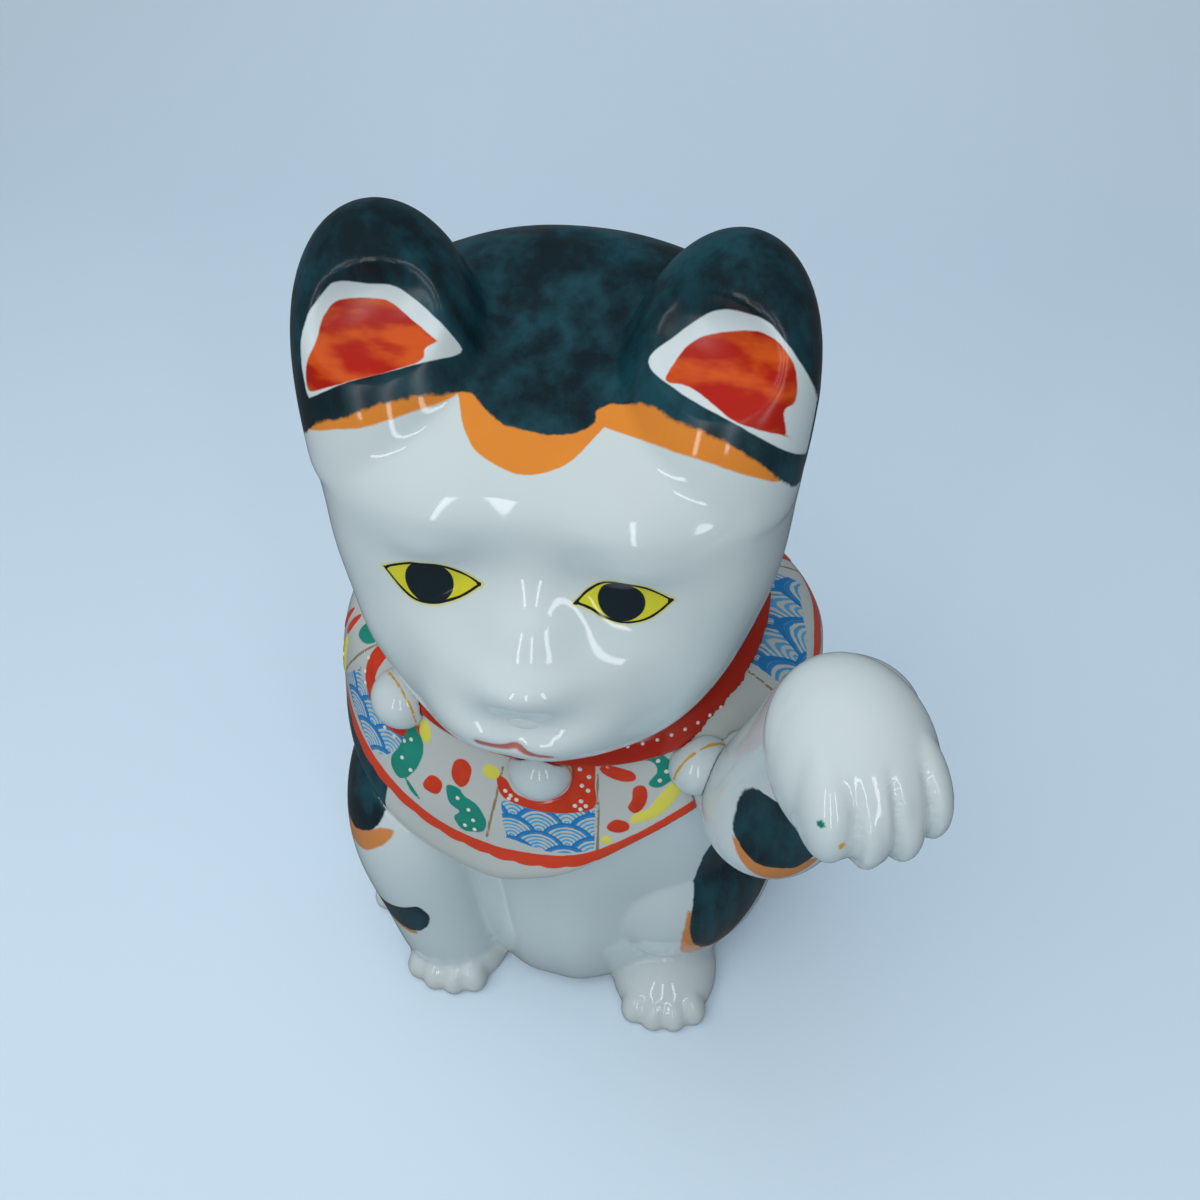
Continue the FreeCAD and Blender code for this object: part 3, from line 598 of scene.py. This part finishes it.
def spots_on(piece, turns_and_heights):
    """Places and normals on the outside of a piece round the upright axis."""
    depsgraph = bpy.context.evaluated_depsgraph_get()
    tree = BVHTree.FromObject(piece, depsgraph)
    spots = []
    for turn, height in turns_and_heights:
        outward = Vector((math.sin(math.radians(turn)), -math.cos(math.radians(turn)), 0))
        start = outward * OUTSIDE + Vector((0, 0, height * MM))
        place, normal, index, distance = tree.ray_cast(start, -outward)
        if place is not None:
            spots.append((place, normal))
    return spots


def dotted(spots, radius, name):
    """Raised dots of thick enamel: one low dome modelled once and copied to each spot."""
    deselect()
    bpy.ops.mesh.primitive_uv_sphere_add(segments=8, ring_count=6, radius=radius * MM, location=(0, 0, 0))
    dome = bpy.context.active_object
    dome.data.transform(Matrix.Diagonal((1, 1, 0.6, 1)))
    dots = []
    for place, normal in spots:
        mesh = dome.data.copy()
        mesh.transform(Matrix.Translation(place) @ normal.to_track_quat("Z", "Y").to_matrix().to_4x4())
        dot = bpy.data.objects.new(name, mesh)
        bpy.context.scene.collection.objects.link(dot)
        dots.append(dot)
    bpy.data.objects.remove(dome)
    return join(dots, name)


# ---------------------------------------------------------------- glazes and enamels

CLEAR_GLOSS = 0.07           # roughness of the clear glaze
PAINT_GLOSS = 0.26           # of thick black paint
BIB_GLOSS = 0.12
BELL_GLOSS = 0.10
ENAMEL_GLOSS = 0.18
PAPER_GLOSS = 0.75
PUPIL_BLACK = (0.008, 0.016, 0.022)
RIM_BLACK = (0.01, 0.01, 0.012)
PINHOLE = (0.16, 0.11, 0.07)
WAVE_RADIUS = 8.6
WAVE_RIBS = 13.0


class Nodes:
    """A material's nodes, added in the order in which a mixture is put together."""

    def __init__(self, name):
        self.material = bpy.data.materials.new(name)
        self.material.use_nodes = True
        self.tree = self.material.node_tree
        self.tree.nodes.clear()
        self.shader = self.add("ShaderNodeBsdfPrincipled")
        output = self.add("ShaderNodeOutputMaterial")
        self.tree.links.new(self.shader.outputs[0], output.inputs["Surface"])
        self.object = self.add("ShaderNodeTexCoord").outputs["Object"]

    def add(self, kind, **settings):
        node = self.tree.nodes.new(kind)
        for name, value in settings.items():
            setattr(node, name, value)
        return node

    def put(self, socket, value):
        if isinstance(value, bpy.types.NodeSocket):
            self.tree.links.new(value, socket)
        elif hasattr(socket, "default_value"):
            if isinstance(value, (tuple, list)) and len(value) == 3 and socket.type == "RGBA":
                value = (*value, 1.0)
            socket.default_value = value

    def field(self, name):
        return self.add("ShaderNodeAttribute", attribute_name=name).outputs["Fac"]

    def math(self, operation, first, second=0.0, third=0.0):
        node = self.add("ShaderNodeMath", operation=operation)
        for socket, value in zip(node.inputs, (first, second, third)):
            self.put(socket, value)
        return node.outputs[0]

    def noise(self, scale, detail=2.0, vector=None, roughness=0.5):
        node = self.add("ShaderNodeTexNoise")
        self.put(node.inputs["Vector"], vector or self.object)
        self.put(node.inputs["Scale"], scale)
        self.put(node.inputs["Detail"], detail)
        self.put(node.inputs["Roughness"], roughness)
        return node.outputs["Fac"]

    def stretched(self, scale):
        node = self.add("ShaderNodeMapping")
        self.put(node.inputs["Vector"], self.object)
        self.put(node.inputs["Scale"], scale)
        return node.outputs["Vector"]

    def step(self, value, low, high):
        """0 below the low value, 1 above the high one."""
        node = self.add("ShaderNodeMapRange", interpolation_type="SMOOTHSTEP")
        self.put(node.inputs["Value"], value)
        self.put(node.inputs["From Min"], low)
        self.put(node.inputs["From Max"], high)
        return node.outputs["Result"]

    def mix(self, share, first, second):
        node = self.add("ShaderNodeMix", data_type="RGBA")
        self.put(node.inputs["Factor"], share)
        self.put(node.inputs[6], first)
        self.put(node.inputs[7], second)
        return node.outputs[2]

    def lerp(self, share, first, second):
        return self.math("MULTIPLY_ADD", share, self.math("SUBTRACT", second, first), first)

    def length(self, across, up):
        squares = [self.math("MULTIPLY", side, side) for side in (across, up)]
        return self.math("SQRT", self.math("ADD", *squares))

    def wave_scales(self, across, up, radius):
        """Overlapping round scales: the distance from a scale's middle, as a share of its radius."""
        across = self.math("DIVIDE", across, radius)
        up = self.math("DIVIDE", up, radius)
        row = self.math("FLOOR", self.math("MULTIPLY", up, 2.0))
        odd = self.math("FLOORED_MODULO", row, 2.0)
        near = self.math("PINGPONG", across, 1.0)
        far = self.math("SUBTRACT", 1.0, near)
        rest = self.math("SUBTRACT", up, self.math("MULTIPLY", row, 0.5))
        own = self.length(self.lerp(odd, near, far), rest)
        below = self.length(self.lerp(odd, far, near), self.math("ADD", rest, 0.5))
        return self.lerp(self.math("LESS_THAN", below, 1.0), own, below)

    def edge(self, name, wobble=0.0, scale=600.0, soft=0.25, grow=0.0):
        """Share of paint from a drawn outline, its edge wobbled by so many millimetres."""
        depth = self.field(name)
        if wobble:
            waver = self.math("SUBTRACT", self.noise(scale, 4.0), 0.5)
            depth = self.math("MULTIPLY_ADD", waver, 2 * wobble, depth)
        return self.step(depth, -soft - grow, soft - grow)

    def finish(self, colour, roughness):
        self.put(self.shader.inputs["Base Color"], colour)
        self.put(self.shader.inputs["Roughness"], roughness)
        return self.material


def glazed_white(n, colours):
    """White under the glaze: cool, a little uneven, with a few pinholes."""
    cloud = n.noise(28.0, 3.0)
    white = n.mix(cloud, tuple(c * 0.94 for c in colours.glaze), tuple(colours.glaze))
    voronoi = n.add("ShaderNodeTexVoronoi")
    n.put(voronoi.inputs["Vector"], n.object)
    n.put(voronoi.inputs["Scale"], 34.0)
    speck = n.step(voronoi.outputs["Distance"], 0.018, 0.010)
    sparse = n.step(n.noise(19.0, 0.0), 0.56, 0.60)
    return n.mix(n.math("MULTIPLY", n.math("MULTIPLY", speck, sparse), 0.7), white, PINHOLE)


def brushed_black(n, colours):
    """Black laid on with a brush, teal where it is thin."""
    strokes = n.noise(160.0, 4.0, n.stretched((1.0, 1.0, 0.25)), 0.6)
    patches = n.noise(45.0, 3.0)
    worn = n.math("ADD", n.math("MULTIPLY", strokes, 0.5), n.math("MULTIPLY", patches, 0.6))
    return n.mix(n.step(worn, 0.42, 0.72), tuple(colours.black), tuple(colours.teal))


def head_material(colours):
    n = Nodes("painted_head_glaze")
    colour = glazed_white(n, colours)
    orange = n.mix(n.noise(90.0, 3.0), tuple(colours.orange), tuple(c * 0.86 for c in colours.orange))
    colour = n.mix(n.edge("orange", 0.25, 300.0), colour, orange)
    colour = n.mix(n.edge("cap", 0.6, 420.0, 0.35), colour, brushed_black(n, colours))
    colour = n.mix(n.edge("ear_white", 0.2, 300.0), colour, tuple(colours.glaze))
    thin = n.step(n.noise(110.0, 3.0, n.stretched((0.5, 1.0, 1.4))), 0.40, 0.62)
    ear = n.mix(thin, tuple(colours.ear_red), tuple(colours.ear_orange))
    colour = n.mix(n.edge("ear_red", 0.3, 260.0), colour, ear)
    halo = n.edge("lids", 0.15, 200.0, 0.25, 0.9)
    yellow = n.mix(n.noise(240.0, 3.0), tuple(colours.yellow), tuple(c * 0.8 for c in colours.yellow))
    colour = n.mix(n.math("MULTIPLY", halo, 0.55), colour, yellow)
    lids = n.edge("lids", 0.0, 200.0, 0.12)
    colour = n.mix(lids, colour, yellow)
    inside = n.math("MULTIPLY", n.edge("pupil", 0.1, 300.0, 0.12), lids)
    colour = n.mix(inside, colour, PUPIL_BLACK)
    rim = n.math("ABSOLUTE", n.field("lids"))
    rim = n.math("ADD", rim, n.math("MULTIPLY", n.noise(260.0, 2.0), 0.35))
    colour = n.mix(n.step(rim, 0.62, 0.40), colour, RIM_BLACK)
    mouth = n.math("ADD", n.field("mouth"), n.math("MULTIPLY", n.noise(220.0, 2.0), 0.8))
    colour = n.mix(n.math("MULTIPLY", n.step(mouth, 1.75, 0.9), 0.9), colour, tuple(colours.mouth))
    roughness = n.lerp(n.edge("cap", 0.0, 300.0, 0.3), CLEAR_GLOSS, PAINT_GLOSS)
    return n.finish(colour, roughness)


def body_material(colours):
    n = Nodes("painted_body_glaze")
    colour = glazed_white(n, colours)
    low = n.math("MULTIPLY", n.step(n.field("height"), 16.0, 3.0), 0.35)
    colour = n.mix(low, colour, tuple(colours.bare_clay))
    deep_orange = tuple(c * 0.8 for c in colours.patch_orange)
    orange = n.mix(n.noise(90.0, 3.0), tuple(colours.patch_orange), deep_orange)
    colour = n.mix(n.edge("orange", 0.5, 260.0, 0.5), colour, orange)
    colour = n.mix(n.edge("black", 0.6, 380.0, 0.35), colour, brushed_black(n, colours))
    colour = n.mix(n.edge("trace_green", 0.7, 500.0, 0.3), colour, tuple(colours.green))
    colour = n.mix(n.edge("trace_gold", 0.7, 500.0, 0.3), colour, tuple(colours.gold))
    roughness = n.lerp(n.edge("black", 0.0, 300.0, 0.3), CLEAR_GLOSS, PAINT_GLOSS)
    return n.finish(colour, roughness)


def bib_material(colours):
    n = Nodes("painted_bib_glaze")
    colour = n.mix(0.65, glazed_white(n, colours), tuple(colours.bib_white))
    scales = n.wave_scales(n.field("round"), n.field("height"), WAVE_RADIUS)
    ribs = n.math("PINGPONG", n.math("MULTIPLY", scales, WAVE_RIBS), 1.0)
    ribs = n.math("ADD", ribs, n.math("MULTIPLY", n.math("SUBTRACT", n.noise(400.0, 2.0), 0.5), 0.9))
    painted = n.math("MAXIMUM", n.step(ribs, 0.42, 0.62), n.step(scales, 0.84, 0.90))
    tint = n.mix(n.step(scales, 0.55, 0.95), tuple(colours.pale_blue), tuple(colours.blue))
    waves = n.mix(painted, colour, tint)
    colour = n.mix(n.edge("waves", 0.4, 300.0, 0.2), colour, waves)
    rule = n.math("ADD", n.field("lines"), n.math("MULTIPLY", n.noise(200.0, 2.0), 0.35))
    colour = n.mix(n.math("MULTIPLY", n.step(rule, 0.75, 0.50), 0.9), colour, tuple(colours.rule))
    colour = n.mix(n.edge("leg_black", 0.3, 300.0, 0.3), colour, brushed_black(n, colours))
    red = n.mix(n.noise(150.0, 3.0), tuple(colours.red), tuple(colours.thin_red))
    border = n.mix(0.45, red, tuple(colours.thin_red))
    colour = n.mix(n.edge("border", 0.3, 300.0, 0.2), colour, border)
    colour = n.mix(n.edge("red", 0.15, 400.0, 0.2), colour, red)
    for name, first, second in (
        ("green", colours.green, colours.pale_green),
        ("yellow", colours.yellow, colours.pale_yellow),
    ):
        paint = n.mix(n.noise(130.0, 3.0), tuple(first), tuple(second))
        colour = n.mix(n.edge(name, 0.15, 400.0, 0.2), colour, paint)
    return n.finish(colour, BIB_GLOSS)


def bell_material(colours):
    n = Nodes("gilt_bell_glaze")
    colour = glazed_white(n, colours)
    waver = n.math("MULTIPLY", n.noise(260.0, 2.0), 0.9)
    line = n.math("ADD", n.math("ABSOLUTE", n.field("gilding")), waver)
    worn = n.step(n.noise(330.0, 3.0), 0.36, 0.46)
    colour = n.mix(n.math("MULTIPLY", n.step(line, 0.95, 0.70), worn), colour, tuple(colours.gold))
    return n.finish(colour, BELL_GLOSS)


def plain_enamel(name, first, second, scale=120.0):
    n = Nodes(name)
    colour = n.mix(n.noise(scale, 3.0), tuple(first), tuple(second))
    return n.finish(colour, ENAMEL_GLOSS)


# ---------------------------------------------------------------- sizes and colours

class CatSizes(bpy.types.PropertyGroup):
    detail: FloatProperty(
        name="Casting detail", description="Spacing of the castings' surface points",
        default=0.0011, unit="LENGTH", subtype="DISTANCE",
    )
    dress_detail: FloatProperty(
        name="Dress detail", description="Spacing of the bib's and collar's surface points",
        default=0.0009, unit="LENGTH", subtype="DISTANCE",
    )
    dot_spacing: FloatProperty(
        name="Dot spacing", description="Degrees from one collar dot to the next", default=4.0,
    )
    head_softness: IntProperty(
        name="Head softness", description="Rounds of smoothing of the head casting", default=10,
    )
    body_softness: IntProperty(
        name="Body softness", description="Rounds of smoothing of the body casting", default=4,
    )


def colour_property(name, description, default):
    return FloatVectorProperty(name=name, description=description, default=default, subtype="COLOR", size=3,
                               min=0.0, max=1.0)


class CatColours(bpy.types.PropertyGroup):
    glaze: colour_property("Glaze", "White porcelain under clear glaze", (0.535, 0.62, 0.635))
    black: colour_property("Black", "Fur patches, thick paint", (0.004, 0.013, 0.018))
    teal: colour_property("Thin black", "Patches where the brush left less paint", (0.008, 0.055, 0.075))
    orange: colour_property("Orange", "Fur patches' orange edges", (0.69, 0.24, 0.034))
    ear_red: colour_property("Ear red", "Inside of the ears, thick paint", (0.36, 0.008, 0.001))
    ear_orange: colour_property("Ear orange", "Inside of the ears, thin paint", (0.54, 0.075, 0.006))
    yellow: colour_property("Eye yellow", "Yellow of the eyes", (0.62, 0.60, 0.035))
    bib_white: colour_property("Bib white", "Thicker, greyer white of the bib", (0.42, 0.43, 0.40))
    mouth: colour_property("Mouth", "Line of the mouth", (0.42, 0.09, 0.07))
    red: colour_property("Red", "Thick iron red of collar and petals", (0.43, 0.019, 0.005))
    thin_red: colour_property("Thin red", "Iron red where it lies thin", (0.62, 0.06, 0.022))
    patch_orange: colour_property("Patch orange", "Beside the body's black patches", (0.62, 0.24, 0.07))
    blue: colour_property("Blue", "Dark strokes of the waves", (0.012, 0.17, 0.42))
    pale_blue: colour_property("Pale blue", "Fine strokes of the waves", (0.08, 0.33, 0.58))
    green: colour_property("Green", "Leaves", (0.005, 0.17, 0.13))
    pale_green: colour_property("Pale green", "Leaves, thin paint", (0.02, 0.27, 0.20))
    pale_yellow: colour_property("Pale yellow", "Leaves and dots, thin paint", (0.66, 0.60, 0.14))
    gold: colour_property("Gold", "Worn gilding", (0.55, 0.32, 0.05))
    rule: colour_property("Panel lines", "Lines between the bib's panels", (0.22, 0.15, 0.05))
    cream: colour_property("Cream", "Raised dots", (0.78, 0.72, 0.60))
    bare_clay: colour_property("Warm clay", "Thin glaze over the feet", (0.55, 0.53, 0.47))
    floor: colour_property("Floor", "Studio sweep", (0.62, 0.76, 0.88))


def sizes():
    return bpy.context.scene.cat_sizes


def colours():
    return bpy.context.scene.cat_colours


# ---------------------------------------------------------------- pieces

DRESS_SOFTNESS = 3           # rounds of smoothing of bib, collar and bells
BELL_FINENESS = 0.6          # of the dress detail
BIB_DOT_RADIUS = 0.75
COLLAR_DOT_RADIUS = 0.6
COLLAR_DOT_HEIGHT = 154.2
DEEP_RED = (0.36, 0.014, 0.004)

class CAT_OT_head(bpy.types.Operator):
    """Head and ears as one glazed casting, with the painted cap, ears, eyes and mouth"""
    bl_idname = "cat.head"
    bl_label = "Head"

    def execute(self, context):
        piece = cast(HEAD_NODES, "head_casting", sizes().detail, sizes().head_softness)
        shape_face(piece)
        paint_head(piece)
        finish_piece(piece, head_material(colours()), HEAD_NODES)
        return {"FINISHED"}


class CAT_OT_body(bpy.types.Operator):
    """Torso, forelegs, feet and tail as one glazed casting, with the painted patches"""
    bl_idname = "cat.body"
    bl_label = "Body"

    def execute(self, context):
        piece = cast(BODY_NODES, "body_casting", sizes().detail, sizes().body_softness)
        groove_fingers(piece)
        paint_body(piece)
        finish_piece(piece, body_material(colours()), BODY_NODES)
        return {"FINISHED"}


class CAT_OT_bib(bpy.types.Operator):
    """Bib with its painted panels, scalloped border and raised enamel"""
    bl_idname = "cat.bib"
    bl_label = "Bib"

    def execute(self, context):
        piece = cast(("bib",), "bib_casting", sizes().dress_detail, DRESS_SOFTNESS)
        paint_bib(piece)
        finish_piece(piece, bib_material(colours()), ("bib",))
        dots = dotted(spots_on(piece, CREAM_DOTS), BIB_DOT_RADIUS, "bib_dots")
        finish_piece(dots, plain_enamel("dot_enamel", colours().cream, colours().glaze))
        return {"FINISHED"}


class CAT_OT_collar(bpy.types.Operator):
    """Red collar with a row of raised dots"""
    bl_idname = "cat.collar"
    bl_label = "Collar"

    def execute(self, context):
        piece = cast(("collar",), "collar_band", sizes().dress_detail, DRESS_SOFTNESS)
        enamel = plain_enamel("collar_enamel", colours().red, DEEP_RED, 60.0)
        finish_piece(piece, enamel, ("collar",))
        step = sizes().dot_spacing
        places = [(i * step, COLLAR_DOT_HEIGHT) for i in range(int(360 / step))]
        dots = dotted(spots_on(piece, places), COLLAR_DOT_RADIUS, "collar_dots")
        enamel = plain_enamel("collar_dot_enamel", colours().cream, colours().glaze)
        finish_piece(dots, enamel)
        return {"FINISHED"}


# how far the gilt line of each bell lies toward the bib
GILDING_SHIFT = {"bell_middle": 2.6, "bell_left": 0.5, "bell_right": 1.8}


class CAT_OT_bells(bpy.types.Operator):
    """Three bells with worn gilt lines"""
    bl_idname = "cat.bells"
    bl_label = "Bells"

    def execute(self, context):
        for name in ("bell_middle", "bell_left", "bell_right"):
            piece = cast((name,), name + "_casting", sizes().dress_detail * BELL_FINENESS, DRESS_SOFTNESS)
            places, normals = places_of(piece)
            middle = places.mean(axis=0)
            outward = middle * (1, 1, 0) / np.linalg.norm(middle[:2])
            keep_field(piece, "gilding", (places - middle) @ outward + GILDING_SHIFT[name])
            finish_piece(piece, bell_material(colours()), (name,))
        return {"FINISHED"}


STAGE_HALF = 1.6             # metres from the middle of the sweep to its edge
STAGE_BACK = 0.95            # behind the cat
STAGE_CURVE = 0.5
AIR_COLOUR = (0.80, 0.88, 0.95, 1)
AIR_STRENGTH = 0.12
LAMPS_AIM = (0, 0, 0.15)
# name, place, size, power and whether the glaze mirrors it
LAMPS = (
    ("lamp_above", (-0.2, -0.3, 1.3), (1.5, 1.5), 17.0, False),
    ("strip_left", (-0.32, -0.95, 0.60), (0.07, 0.7), 1.0, True),
    ("strip_middle", (0.12, -1.0, 0.60), (0.07, 0.7), 1.0, True),
    ("strip_right", (0.58, -0.85, 0.65), (0.09, 0.6), 1.0, True),
)
CAMERA_PLACE = (59.2, -236.5, 424.8)
CAMERA_BACK = (0.14514, -0.64494, 0.75033)          # the way from the cat to the camera
CAMERA_RIGHT = (0.98118, 0.19146, -0.02523)
CAMERA_LENS = 35.07
CAMERA_FILM = 36.0


class CAT_OT_stage(bpy.types.Operator):
    """Pale sweep, soft lights and camera"""
    bl_idname = "cat.stage"
    bl_label = "Stage"

    def execute(self, context):
        self.sweep()
        self.lights()
        self.camera()
        return {"FINISHED"}

    def sweep(self):
        deselect()
        bpy.ops.mesh.primitive_plane_add(size=2 * STAGE_HALF, location=(0, STAGE_BACK - STAGE_HALF, 0))
        floor = bpy.context.active_object
        floor.name = "stage_sweep"
        bpy.ops.object.mode_set(mode="EDIT")
        bpy.ops.mesh.select_mode(type="EDGE")
        bpy.ops.mesh.select_all(action="DESELECT")
        bpy.ops.object.mode_set(mode="OBJECT")
        for edge in floor.data.edges:
            edge.select = all(floor.data.vertices[i].co.y > STAGE_HALF * 0.99 for i in edge.vertices)
        bpy.ops.object.mode_set(mode="EDIT")
        bpy.ops.mesh.extrude_region_move(TRANSFORM_OT_translate={"value": (0, 0, 2 * STAGE_HALF)})
        bpy.ops.object.mode_set(mode="OBJECT")
        bpy.ops.object.transform_apply(location=True, rotation=True, scale=True)
        apply_modifier(floor, "BEVEL", width=STAGE_CURVE, segments=24, limit_method="ANGLE")
        bpy.ops.object.shade_smooth()
        n = Nodes("stage_paper")
        base = tuple(colours().floor)
        paper = n.mix(n.noise(3.0, 2.0), base, tuple(c * 0.96 for c in base))
        floor.data.materials.append(n.finish(paper, PAPER_GLOSS))
        floor.visible_glossy = False

    def lights(self):
        world = bpy.data.worlds.new("stage_air")
        world.use_nodes = True
        background = world.node_tree.nodes["Background"]
        background.inputs["Color"].default_value = AIR_COLOUR
        background.inputs["Strength"].default_value = AIR_STRENGTH
        bpy.context.scene.world = world
        for name, place, size, power, mirrored in LAMPS:
            data = bpy.data.lights.new(name, "AREA")
            data.shape = "RECTANGLE"
            data.size, data.size_y = size
            data.energy = power
            lamp = bpy.data.objects.new(name, data)
            bpy.context.scene.collection.objects.link(lamp)
            lamp.location = place
            lamp.visible_glossy = mirrored
            heading = Vector(LAMPS_AIM) - Vector(place)
            lamp.rotation_euler = heading.to_track_quat("-Z", "Y").to_euler()

    def camera(self):
        data = bpy.data.cameras.new("camera")
        data.lens = CAMERA_LENS
        data.sensor_width = CAMERA_FILM
        camera = bpy.data.objects.new("camera", data)
        bpy.context.scene.collection.objects.link(camera)
        back = Vector(CAMERA_BACK).normalized()
        right = Vector(CAMERA_RIGHT)
        right = (right - back * right.dot(back)).normalized()
        up = back.cross(right)
        turned = Matrix((right, up, back)).transposed().to_4x4()
        camera.matrix_world = Matrix.Translation(Vector(CAMERA_PLACE) * MM) @ turned
        data.clip_start = 0.01
        bpy.context.scene.camera = camera
        bpy.context.scene.view_settings.view_transform = "Standard"


class CAT_PT_panel(bpy.types.Panel):
    bl_label = "Beckoning Cat"
    bl_idname = "CAT_PT_panel"
    bl_space_type = "VIEW_3D"
    bl_region_type = "UI"
    bl_category = "Beckoning Cat"

    def draw(self, context):
        for operator in OPERATORS:
            self.layout.operator(operator.bl_idname)
        for group in (context.scene.cat_sizes, context.scene.cat_colours):
            box = self.layout.box()
            for name in group.__annotations__:
                box.prop(group, name)


OPERATORS = (CAT_OT_head, CAT_OT_body, CAT_OT_bib, CAT_OT_collar, CAT_OT_bells, CAT_OT_stage)
CLASSES = (CatSizes, CatColours) + OPERATORS + (CAT_PT_panel,)


def register():
    for item in CLASSES:
        bpy.utils.register_class(item)
    bpy.types.Scene.cat_sizes = PointerProperty(type=CatSizes)
    bpy.types.Scene.cat_colours = PointerProperty(type=CatColours)


def unregister():
    del bpy.types.Scene.cat_colours
    del bpy.types.Scene.cat_sizes
    for item in reversed(CLASSES):
        bpy.utils.unregister_class(item)


def main():
    register()
    bpy.ops.cat.head()
    bpy.ops.cat.body()
    bpy.ops.cat.bib()
    bpy.ops.cat.collar()
    bpy.ops.cat.bells()
    bpy.ops.cat.stage()


if __name__ == "__main__":
    main()
